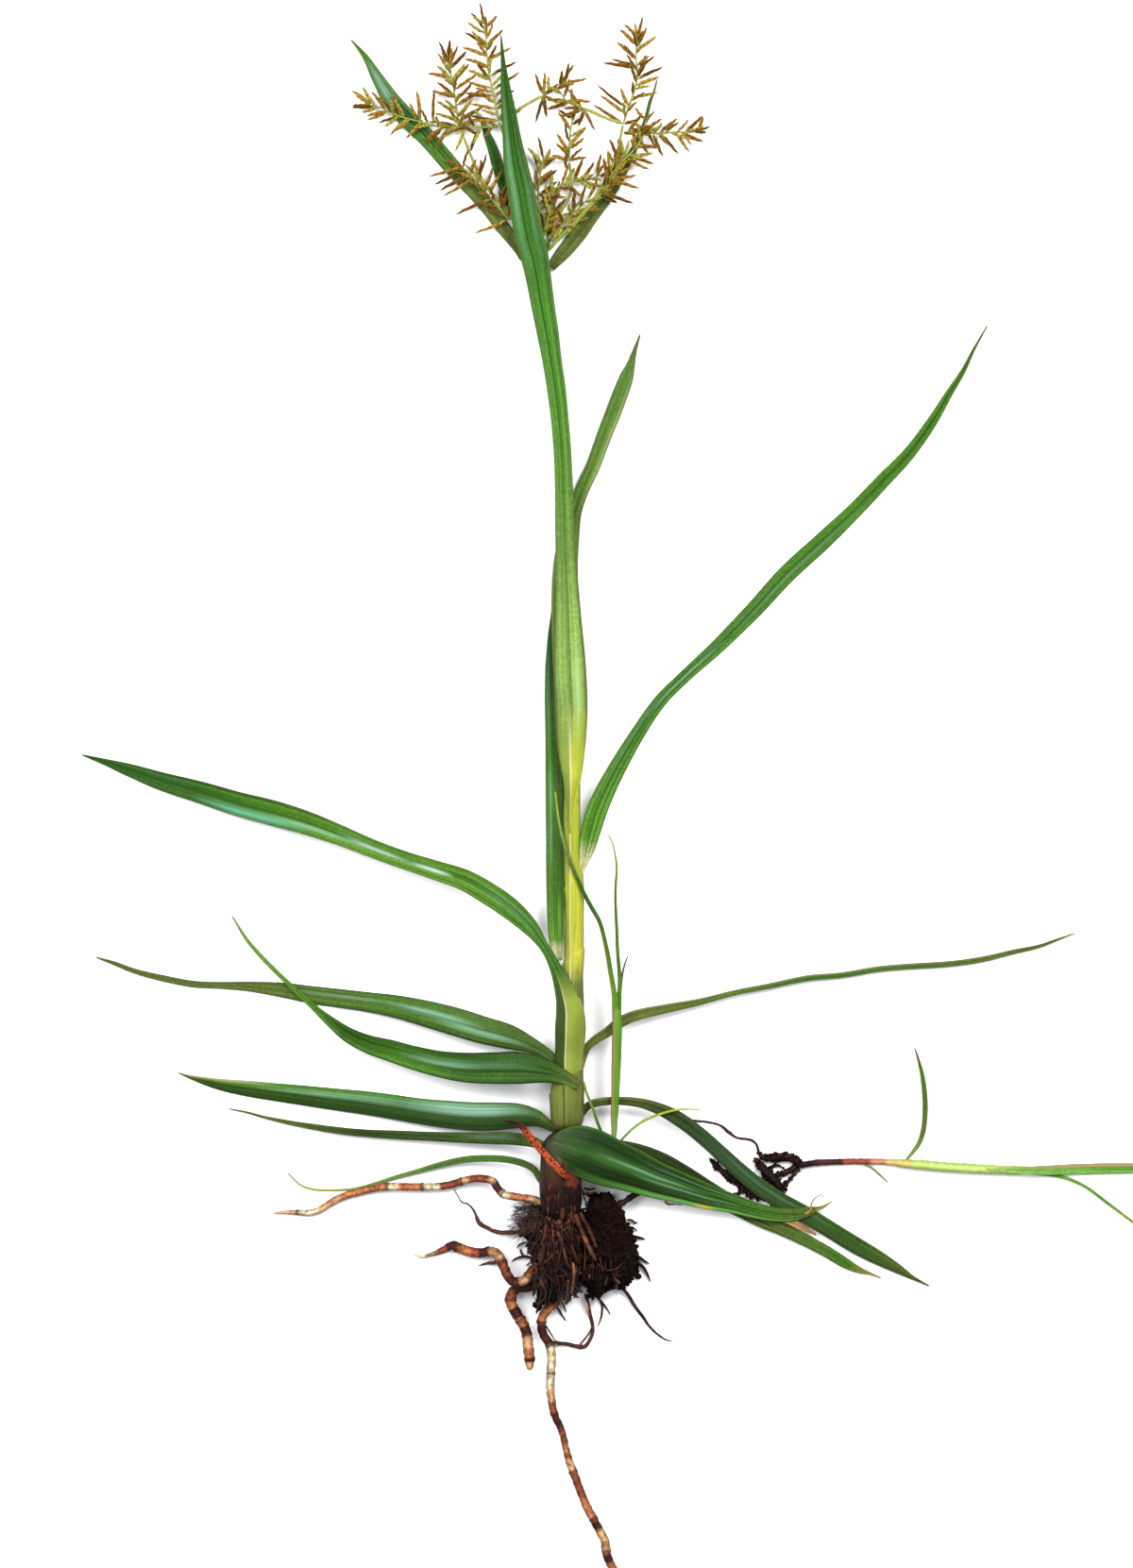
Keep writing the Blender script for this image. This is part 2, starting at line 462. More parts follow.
        heights=[10.4, 8.2, 6.5, 5.1, 4, 3, 2.4, 1.7, 1.1, 0.7, 0.4],
        form=dict(fold=[-0.3, -0.6, -0.5, -0.3, -0.2, 0], arch=0.2),
        look=dict(stops=tones((0, "olive"), (0.12, srgb(66, 94, 38)), (0.6, srgb(60, 84, 32)), (0.9, "olive"),
                              (1, "brown")),
                  edge=srgb(84, 74, 40), seed=10.0, sheen=[(0.1, 0.3, 0.6, 0.2, 0.3)])),
    "leaf_thin_left": dict(
        path=[(-6, 20.5, 2), (-9.3, 24, 2.2), (-11, 27, 2.3), (-14, 29, 2.3), (-20, 30.7, 2.3),
              (-28, 31.2, 2.3), (-36, 30.7, 2.2), (-44, 29, 2), (-52, 26.7, 1.6), (-60, 24.5, 1.3),
              (-68, 22, 1), (-75, 20.3, 0.8), (-83, 19.8, 0.7), (-90, 20.2, 0.6), (-94, 21.7, 0.5),
              (-98.3, 25.7, 0.3)],
        heights=[9.8, 7.7, 5.9, 4.4, 3, 1.9, 1.1, 0.5, 0.4, 0.4, 0.4],
        form=dict(fold=[-0.2, -0.4, -0.3, -0.2, 0], arch=0.12),
        look=dict(stops=tones((0, "olive"), (0.15, srgb(76, 112, 44)), (0.45, srgb(92, 136, 56)),
                              (0.7, "pale"), (0.9, "yellow"), (1, "brown")), edge=srgb(74, 88, 42),
                  seed=11.0)),
    "leaf_low_right": dict(
        path=[(4, 43.6, 1.8), (5.6, 47.4, 2.2), (7.5, 49.8, 2.6), (10.5, 51, 2.7), (17, 51.6, 2.8),
              (25, 51, 3.2), (32, 49, 4), (39, 45.5, 5), (46, 40.5, 5.2), (53, 34.5, 5.3), (60, 28, 5.7),
              (67, 22, 6), (75, 16.5, 6.1), (84, 11.5, 6.1), (93, 6, 6), (102, 0.5, 6), (110, -4, 5),
              (117, -8, 3.3), (122, -11, 1.5), (128, -14, 0.3)],
        heights=[9.6, 8.2, 6.9, 5.6, 4.8, 4.2, 2.8, 1.6, 1.0, 0.7, 0.4],
        form=dict(fold=[0.2, 0.4, 0.7, 0.9, 0.9, 0.8, 0.5, 0], arch=0.4, roll=[0, 0, -8, -8, -4, 0]),
        look=dict(stops=tones((0, "brown"), (0.03, "brown"), (0.06, "olive"), (0.15, srgb(98, 112, 52)),
                              (0.3, srgb(62, 88, 46)), (0.5, srgb(66, 102, 50)), (0.8, srgb(76, 118, 40)),
                              (0.95, "olive"), (1, "brown")),
                  darkSide="right", edge=green["dark"], seed=12.0,
                  sheen=[(0.3, 0.75, 0.36, 0.14, 0.55), (0.02, 0.2, 0.1, 0.2, 0.6, srgb(150, 150, 80))])),
    "leaf_broad_right": dict(
        path=[(-5.4, 37.9, 3), (-4.7, 37.6, 6.4), (-3, 37, 10.4), (-0.6, 36.3, 14), (2.4, 35.4, 16.6),
              (5.5, 34.3, 17.8), (10, 32.4, 18.2), (15, 30.2, 17.4), (23, 27.2, 15.2), (31, 24, 13),
              (40, 21, 11), (49, 18, 8.9), (58, 15.5, 6.7), (66, 13, 5.4), (73, 11.5, 4.8), (79, 11.2, 4.4),
              (84, 11.8, 3), (88, 12.8, 1)],
        heights=[18.7, 19.9, 17.4, 14.2, 11.4, 9.5, 7.8, 6.3, 5.2, 4.5, 4.0, 3.6],
        form=dict(fold=[-0.8, -2.0, -1.8, -0.8, 0.1, 0.4, 0.5, 0.4, 0.2], arch=0.5, ridges=0.14, ridgeCount=7,
                  groove=0.3, across=28),
        look=dict(stops=[(0, srgb(88, 96, 70)), (0.03, srgb(78, 94, 60)), (0.07, srgb(58, 86, 42)),
                         (0.1, srgb(46, 78, 32)), (0.3, srgb(34, 66, 18)), (0.55, srgb(48, 88, 28)),
                         (0.8, green["leaf"]), (1, green["olive"])],
                  veins=11, edge=green["leaf"], seed=13.0,
                  sheen=[(0.0, 0.62, 0.46, 0.2, 0.85, srgb(72, 124, 54)),
                         (0.0, 0.5, 0.78, 0.2, 0.85, srgb(34, 56, 20)),
                         (0.0, 0.5, 0.17, 0.16, 0.85, srgb(34, 62, 22)), (0.16, 0.62, 0.42, 0.05, 0.7),
                         (0.3, 0.75, 0.58, 0.04, 0.6), (0.3, 0.8, 0.2, 0.03, 0.5),
                         (0.1, 0.95, 0.94, 0.13, 1.0, srgb(116, 190, 88)),
                         (0.55, 0.64, 0.96, 0.12, 1.0, srgb(240, 196, 56))])),
    "leaf_hidden_right": dict(
        path=[(4, 39, 4), (10, 37, 5), (16, 35, 6.4), (24, 33, 7.4), (33, 29.5, 8), (42, 24.5, 7.6),
              (51, 19, 7), (60, 14, 6), (68, 9.5, 5), (76, 6, 4.5), (84, 2.3, 4.3), (92, -2, 4),
              (98, -5.7, 3.6), (103, -8.3, 2.3), (107, -9.6, 1), (111, -11.2, 0.3)],
        heights=[7.6, 8.0, 6.8, 4.9, 3.4, 2.4, 1.7, 1.3, 1.0, 0.7, 0.4],
        form=dict(fold=[0.2, 0.6, 0.8, 0.7, 0.5, 0.3, 0], arch=0.4),
        look=dict(stops=tones((0, "dark"), (0.12, srgb(66, 76, 38)), (0.35, srgb(52, 70, 32)), (0.6, "olive"),
                              (0.9, "leaf"), (1, "straw")), seed=14.0)),
    "bract_left": dict(
        path=[(-15.2, 348.4, 2.4), (-17, 352, 3.2), (-22, 359, 4.6), (-28, 367, 5.1), (-35, 375, 5.2),
              (-42, 383, 6), (-49, 391, 6.1), (-56, 398, 6.4), (-62, 405, 5.8), (-67, 413, 4), (-71, 420, 2),
              (-76, 426, 0.3)],
        heights=[1.8, 1.0, 0.7, 0.6, 0.6, 0.6, 0.6, 0.6, 0.5, 0.5, 0.4],
        form=dict(fold=[0.2, 0.4, 0.4, 0.4, 0.3, 0], arch=0.3),
        look=dict(stops=tones((0, "olive"), (0.25, "olive"), (0.5, "leaf"), (0.75, "teal"), (0.95, "leaf"),
                              (1, "brown")), edge=green["olive"], seed=15.0,
                  sheen=[(0.7, 0.92, 0.5, 0.3, 0.9, srgb(176, 206, 186))])),
    "bract_inner": dict(
        path=[(-16, 358, 2), (-18, 364, 3.2), (-21, 372, 4), (-23.5, 379, 4), (-26, 387, 3.4),
              (-28.5, 394, 2), (-31, 400, 0.3)],
        heights=[0.9, 0.7, 0.6, 0.6, 0.6, 0.5, 0.4],
        form=dict(fold=0.3, arch=0.2),
        look=dict(stops=tones((0, "leaf"), (0.6, "deep"), (1, "deep")), seed=16.0)),
    "bract_right": dict(
        path=[(-5.5, 345.5, 3), (-1, 351, 5), (4, 357, 5.5), (9, 364, 5.1), (14, 370.5, 4.6), (18, 376.5, 4),
              (21, 382, 3), (24, 388, 2.1), (27, 395, 1.4), (28.5, 400, 1.1), (29.5, 404, 1), (31, 408, 0.6),
              (32, 412, 0.3)],
        heights=[1.8, 1.0, 0.7, 0.6, 0.6, 0.6, 0.5, 0.5, 0.4],
        form=dict(fold=[0.2, 0.4, 0.4, 0.2, 0.1, 0], arch=0.25),
        look=dict(stops=tones((0, "olive"), (0.1, "olive"), (0.5, "olive"), (0.75, "leaf"), (1, "olive")),
                  edge=green["brown"], seed=17.0)),
    "bract_thread": dict(
        path=[(-7.4, 350, 1.1), (-6, 357, 1.6), (-5.5, 362, 1.6), (-4.5, 368, 1.3), (-3.5, 372, 0.8),
              (-2.5, 376, 0.3)],
        heights=[1.0, 0.7, 0.5, 0.5, 0.4],
        form=dict(fold=0.2, arch=0.1, across=8),
        look=dict(stops=tones((0, "fresh"), (1, "leaf")), seed=18.0)),
    "side_leaf_long": dict(
        path=[(17.3, 79, 2.4), (17.1, 84.2, 2.4), (16.7, 90, 2), (15.5, 97, 1.8), (14.5, 103, 1.7),
              (13, 110, 1.5), (11.5, 115, 1.5), (9, 119.5, 1.5), (6.5, 124, 1.4), (4.5, 128.5, 1.4),
              (2, 134, 1.3), (-0.5, 141, 1.1), (-2.5, 149, 0.9), (-3.5, 156, 0.6), (-4, 160.5, 0.3)],
        heights=[12.6, 12.8, 12.9, 13.1, 13.3, 13.4, 13.3, 12.9, 11.7, 10.5, 9.6],
        form=dict(fold=0.3, arch=0.1, across=8, groove=0.08),
        look=dict(stops=tones((0, "fresh"), (0.3, "leaf"), (0.6, "deep"), (0.85, "pale"), (1, "yellow")),
                  edge=srgb(150, 140, 76), seed=19.0,
                  sheen=[(0.0, 0.5, 0.0, 0.4, 1.0, srgb(196, 140, 96))])),
    "side_leaf_upright": dict(
        path=[(18.2, 79, 2.2), (18.4, 84, 2), (18.7, 92, 1.5), (18.5, 98, 1.4), (18, 104, 1.3),
              (17.7, 112, 1.2), (17.3, 120, 1.1), (17.3, 127, 1), (17.7, 134, 0.9), (17, 139, 0.7),
              (16, 143, 0.5), (14.7, 145.3, 0.3)],
        heights=[12.4, 12, 11.6, 11, 10.2, 9.3, 8.4, 7.4, 6.4, 5.3, 4.4],
        form=dict(fold=0.25, arch=0.1, across=8, groove=0.05),
        look=dict(stops=tones((0, "fresh"), (0.3, "leaf"), (0.7, "olive"), (0.9, "pale"), (1, "yellow")),
                  edge=green["straw"], seed=20.0)),
    "side_leaf_short": dict(
        path=[(18.8, 86, 0.9), (19.2, 92, 0.9), (19.8, 97, 0.8), (20.8, 100.6, 0.6), (21.7, 103, 0.3)],
        heights=[12, 11.3, 10.7, 10.1, 9.6],
        form=dict(fold=0.15, arch=0.05, across=6, groove=0.03),
        look=dict(stops=tones((0, "fresh"), (0.5, "olive"), (0.75, "brown"), (1, "brown")), seed=21.0)),
    "side_leaf_pale": dict(
        path=[(18.4, 36.8, 0.8), (20.5, 39.2, 0.9), (24, 42.5, 1), (28, 45, 1), (33, 47, 0.9),
              (38, 48.3, 0.8), (43, 48.7, 0.6), (48, 48.2, 0.3)],
        heights=[11.4, 10.9, 10.4, 9.7, 9, 8.3, 7.4],
        form=dict(fold=0.15, arch=0.05, across=6, groove=0.03),
        look=dict(stops=tones((0, "olive"), (0.2, "pale"), (0.6, "yellow"), (0.9, "yellow"), (1, "brown")),
                  seed=22.0),
        slot="pale_leaf"),
    "side_strand": dict(
        path=[(6, 58.4, 0.9), (7, 54.6, 0.9), (8.5, 51, 0.9), (9.8, 47.5, 1), (11, 43.8, 1),
              (12.4, 40.6, 0.8)],
        heights=[12, 11.7, 11.3, 10.8, 10.4],
        form=dict(fold=0.15, arch=0.05, across=6, groove=0.03),
        look=dict(stops=tones((0, "yellow"), (0.3, "pale"), (0.8, "leaf"), (1, "deep")), seed=23.0),
        slot="pale_leaf"),
    "runner_leaf_end": dict(
        path=[(148, 27.3, 0.4), (154, 27.1, 1.4), (160, 26.9, 2.4), (166, 26.9, 3.1), (172, 27, 3.4),
              (180, 27.3, 3.6), (190, 27.5, 3.7), (200, 27.6, 3.5), (208, 27.9, 3), (216, 28.4, 2.1),
              (226, 29.4, 0.3)],
        heights=[3.55, 3.6, 3.5, 2.9, 2.0, 1.4, 1.0, 0.9, 0.8, 0.7, 0.6, 0.5, 0.4],
        form=dict(fold=[0.4, 0.5, 0.4, 0], arch=0.2),
        look=dict(stops=tones((0, srgb(204, 234, 128)), (0.14, srgb(160, 218, 98)), (0.3, srgb(128, 196, 80)),
                              (1, "fresh")),
                  edge=srgb(150, 150, 84), seed=24.0,
                  sheen=[(0.02, 1.0, 0.14, 0.34, 1.0, srgb(212, 164, 130))]),
        slot="pale_leaf"),
    "runner_leaf_up": dict(
        path=[(119.2, 29.8, 0.8), (122, 33, 1.3), (124.5, 36.5, 1.6), (126, 41, 1.7), (126.6, 47, 1.8),
              (126.5, 53, 1.8), (125.7, 60, 1.5), (124.5, 65, 1), (123, 70, 0.3)],
        heights=[2.4, 1.4, 1.0, 0.8, 0.7, 0.6, 0.4],
        form=dict(fold=0.25, arch=0.1, across=8, groove=0.06),
        look=dict(stops=tones((0, "pale"), (0.3, "olive"), (0.8, "leaf"), (1, "brown")), edge=green["brown"],
                  seed=25.0)),
    "runner_leaf_small": dict(
        path=[(104.4, 29.3, 0.7), (108, 27.5, 0.8), (110.5, 25.3, 0.7), (113.5, 22.5, 0.3)],
        heights=[1.2, 0.8, 0.6, 0.4],
        form=dict(fold=0.1, arch=0.05, across=6, groove=0.03),
        look=dict(stops=tones((0, "straw"), (0.5, "pale"), (1, "brown")), seed=26.0)),
    "runner_leaf_low": dict(
        path=[(165.5, 25.6, 0.9), (172, 25, 1.1), (178, 23.5, 1.2), (184, 20.5, 1.1), (190, 16, 1.1),
              (196, 11.5, 1), (200, 8.5, 0.9), (206, 4.4, 0.7), (212, 0, 0.3)],
        heights=[1.2, 0.8, 0.6, 0.5, 0.5, 0.5, 0.4],
        form=dict(fold=0.15, arch=0.05, across=6, groove=0.03),
        look=dict(stops=tones((0, "pale"), (0.5, "fresh"), (1, "yellow")), seed=27.0)),
    "dry_scale": dict(
        path=[(1, 24.8, 1.6), (-1, 26.5, 2.4), (-3.5, 29, 2.5), (-6, 31.5, 2.5), (-8.5, 34.3, 2.5),
              (-11, 37, 2.4), (-13.5, 40, 2.3), (-15.5, 42.4, 2), (-17, 43.6, 1.2), (-19, 44.2, 0.7),
              (-22, 44.5, 0.3)],
        heights=[20.8, 21, 21, 20.7, 20, 18, 15.8, 13.7, 11.9, 11, 10.6],
        form=dict(fold=[0.1, 0.2, 0.3, 0.2, 0], arch=0.2, across=10, groove=0.1),
        look=dict(stops=[(0, srgb(170, 60, 30)), (0.3, srgb(214, 96, 52)), (0.7, srgb(206, 84, 42)),
                         (0.76, srgb(110, 44, 30)), (0.86, srgb(40, 26, 30)), (1, srgb(40, 26, 30))],
                  edge=srgb(150, 50, 28), specks=srgb(60, 14, 10), dullness=0.7, seed=28.0),
        slot="dry_scale"),
}

for node, leaf in leaves.items():
    makeLeaf(node + "_blade", [node], **leaf)
print("leaves and bracts:", len(leaves))

# the broad right leaf ends in three dry, split pieces
splitLook = dict(stops=tones((0, "straw"), (1, srgb(190, 130, 70))), edge=green["brown"], seed=29.0)
splitTips = {
    "split_tip_tan": dict(
        path=[(77, 9.2, 1.6), (81, 7.8, 2.2), (84.5, 6, 1.6), (88, 4, 0.4)],
        heights=[3.6, 3.2, 2.4, 1.6],
        form=dict(fold=0.2, arch=0.2, across=8), look=splitLook),
    "split_tip_curl": dict(
        path=[(83, 11, 0.8), (86.2, 13, 0.7), (86.4, 15.5, 0.6), (87.8, 17.3, 0.5), (89.8, 18.4, 0.4),
              (91, 17.8, 0.3)],
        heights=[3.8, 4.2, 4.8, 5.2, 5.0],
        form=dict(fold=0.1, arch=0.1, across=6), look=splitLook),
    "split_tip_green": dict(
        path=[(80, 12, 2.4), (85, 13, 2), (90, 13.8, 1.2), (93.6, 16, 0.4)],
        heights=[4.0, 3.8, 3.6, 3.4],
        form=dict(fold=0.2, arch=0.2, across=8),
        look=dict(stops=tones((0, "deep"), (0.5, "olive"), (1, "straw")), edge=green["brown"], seed=30.0)),
}
for name, tip in splitTips.items():
    makeLeaf(name, [], **tip)


# Round pieces: stem, culm, rhizomes and roots

tubeBuild = {"roundEnd": 0.2, "finest": 0.04, "jointReach": 0.55, "jointSwell": 0.16}

earth = {
    "cream": srgb(246, 226, 182), "straw": srgb(230, 172, 122), "clay": srgb(200, 122, 76),
    "rust": srgb(150, 76, 46), "umber": srgb(74, 32, 24), "night": srgb(26, 12, 10),
    "bark": srgb(104, 62, 42),
    "plum": srgb(84, 36, 36), "brick": srgb(170, 78, 58), "blush": srgb(226, 150, 112),
    "butter": srgb(250, 228, 176), "wax": srgb(226, 206, 116), "lime": srgb(206, 236, 128),
    "ash": srgb(100, 84, 80),
}


def startTubes():
    mesh = bmesh.new()
    mesh.loops.layers.uv.new("UVMap")
    mesh.verts.layers.float.new("tone")
    mesh.verts.layers.float.new("joint")
    return mesh


def addTube(mesh, points, sides, step, joints=(), tone=0.0, flat=1.0, rough=0.0, bulge=None, kind=0):
    # points: x, y, z and radius of the axis; joints: rings at which the piece is swollen and dark;
    # tone: the strand's own shade; kind: which of the piece's materials it takes
    route = smoothRoute(points, step)
    last = len(route) - 1
    knots = [0.0]
    for a, b in zip(route, route[1:]):
        knots.append(knots[-1] + (b.xyz - a.xyz).length)
    rings = [min(range(last + 1), key=lambda i: (route[i].xy - Vector(joint)).length) for joint in joints]
    rings = [knots[i] for i in rings]
    frames = [frameAt(route, i) for i in range(last + 1)]
    toneLayer, jointLayer = mesh.verts.layers.float["tone"], mesh.verts.layers.float["joint"]
    made = bmesh.ops.create_grid(mesh, x_segments=sides, y_segments=last, size=1.0, calc_uvs=True)
    for vertex in made["verts"]:
        angle = -math.pi * (vertex.co.x + 1)
        i = round((vertex.co.y + 1) / 2 * last)
        _, right, up = frames[i]
        radius = max(route[i].w, tubeBuild["finest"])
        fromEnd = min(knots[i], knots[-1] - knots[i]) / radius
        if fromEnd < 1:
            radius *= max(tubeBuild["roundEnd"], math.sqrt(1 - (1 - fromEnd) ** 2))
        nearest = min((abs(knots[i] - ring) for ring in rings), default=math.inf)
        collar = math.exp(-(nearest / tubeBuild["jointReach"]) ** 2)
        radius *= 1 + tubeBuild["jointSwell"] * collar
        way = right * math.cos(angle) + up * flat * math.sin(angle)
        if rough:
            spot = route[i].xyz + way * radius
            radius *= 1 + rough * noise.noise(spot * 0.9) + 0.5 * rough * noise.noise(spot * 2.3)
        if bulge:
            radius += bulge(route[i].xyz + way * radius, angle)
        vertex.co = (route[i].xyz + way * radius) * mm
        vertex.co.z = max(vertex.co.z, 0.0)
        vertex[toneLayer] = tone
        vertex[jointLayer] = collar
    for face in {face for vertex in made["verts"] for face in vertex.link_faces}:
        face.material_index = kind


def closeTubes(mesh):
    bmesh.ops.remove_doubles(mesh, verts=mesh.verts, dist=0.0004 * mm)
    bmesh.ops.holes_fill(mesh, edges=[edge for edge in mesh.edges if edge.is_boundary], sides=0)
    bmesh.ops.recalc_face_normals(mesh, faces=mesh.faces)


def finishTubes(mesh, name, nodes, materials):
    closeTubes(mesh)
    handOver(mesh, name, nodes, materials)


def rootMaterial(name, stops, roughness, bands=None, flankShade=0.35, soiled=1.0):
    # bands run along v, otherwise the colour follows each strand's own tone
    material, tree, shader = startMaterial(name, roughness, 0.08)
    uv, place = surfaceUv(tree), objectPlace(tree)
    around, along = splitUp(tree, uv)
    grain = addNoise(tree, place, 800.0, 5.0, 0.65)
    blotch = addNoise(tree, place, 170.0, 3.0, 0.6)
    streaks = addNoise(tree, scaled(tree, uv, (8, 70, 1)), 1.0, 3.0, 0.6)
    stains = addNoise(tree, place, 420.0, 3.0, 0.6)
    if bands:
        colour = addRamp(tree, addMath(tree, "ADD", along, offCentre(tree, blotch, 0.02)), bands)
    else:
        colour = addRamp(tree, addMath(tree, "ADD", ownValue(tree, "tone"), offCentre(tree, blotch, 0.7)),
                         stops)
    colour = shadeBy(tree, 0.3 + 0.5 * soiled, colour, grain, [(0.3, 0.4), (0.6, 1.25)])
    colour = shadeBy(tree, 0.7 * soiled, colour, blotch, [(0.32, 0.4), (0.5, 1.0), (0.66, 1.3)])
    colour = shadeBy(tree, 0.75 * soiled, colour, streaks, [(0.38, 0.5), (0.6, 1.3)])
    stained = addRamp(tree, stains, [(0.56, 0.0), (0.66, 0.75 * soiled)])
    colour = addMix(tree, stained, colour, addMix(tree, 0.7, colour, earth["umber"]))
    colour = addMix(tree, product(tree, ownValue(tree, "joint"), 0.85), colour, earth["umber"])
    # darker along both flanks, as the skin is stained there
    colour = shadeBy(tree, 1.0, colour, flankOf(tree, around),
                     [(0.1, 1.3), (0.4, 1.0), (0.65, 0.8), (1.0, flankShade)])
    tree.links.new(colour, shader.inputs["Base Color"])
    addBump(tree, shader, grain, 0.25, 0.8)
    return material


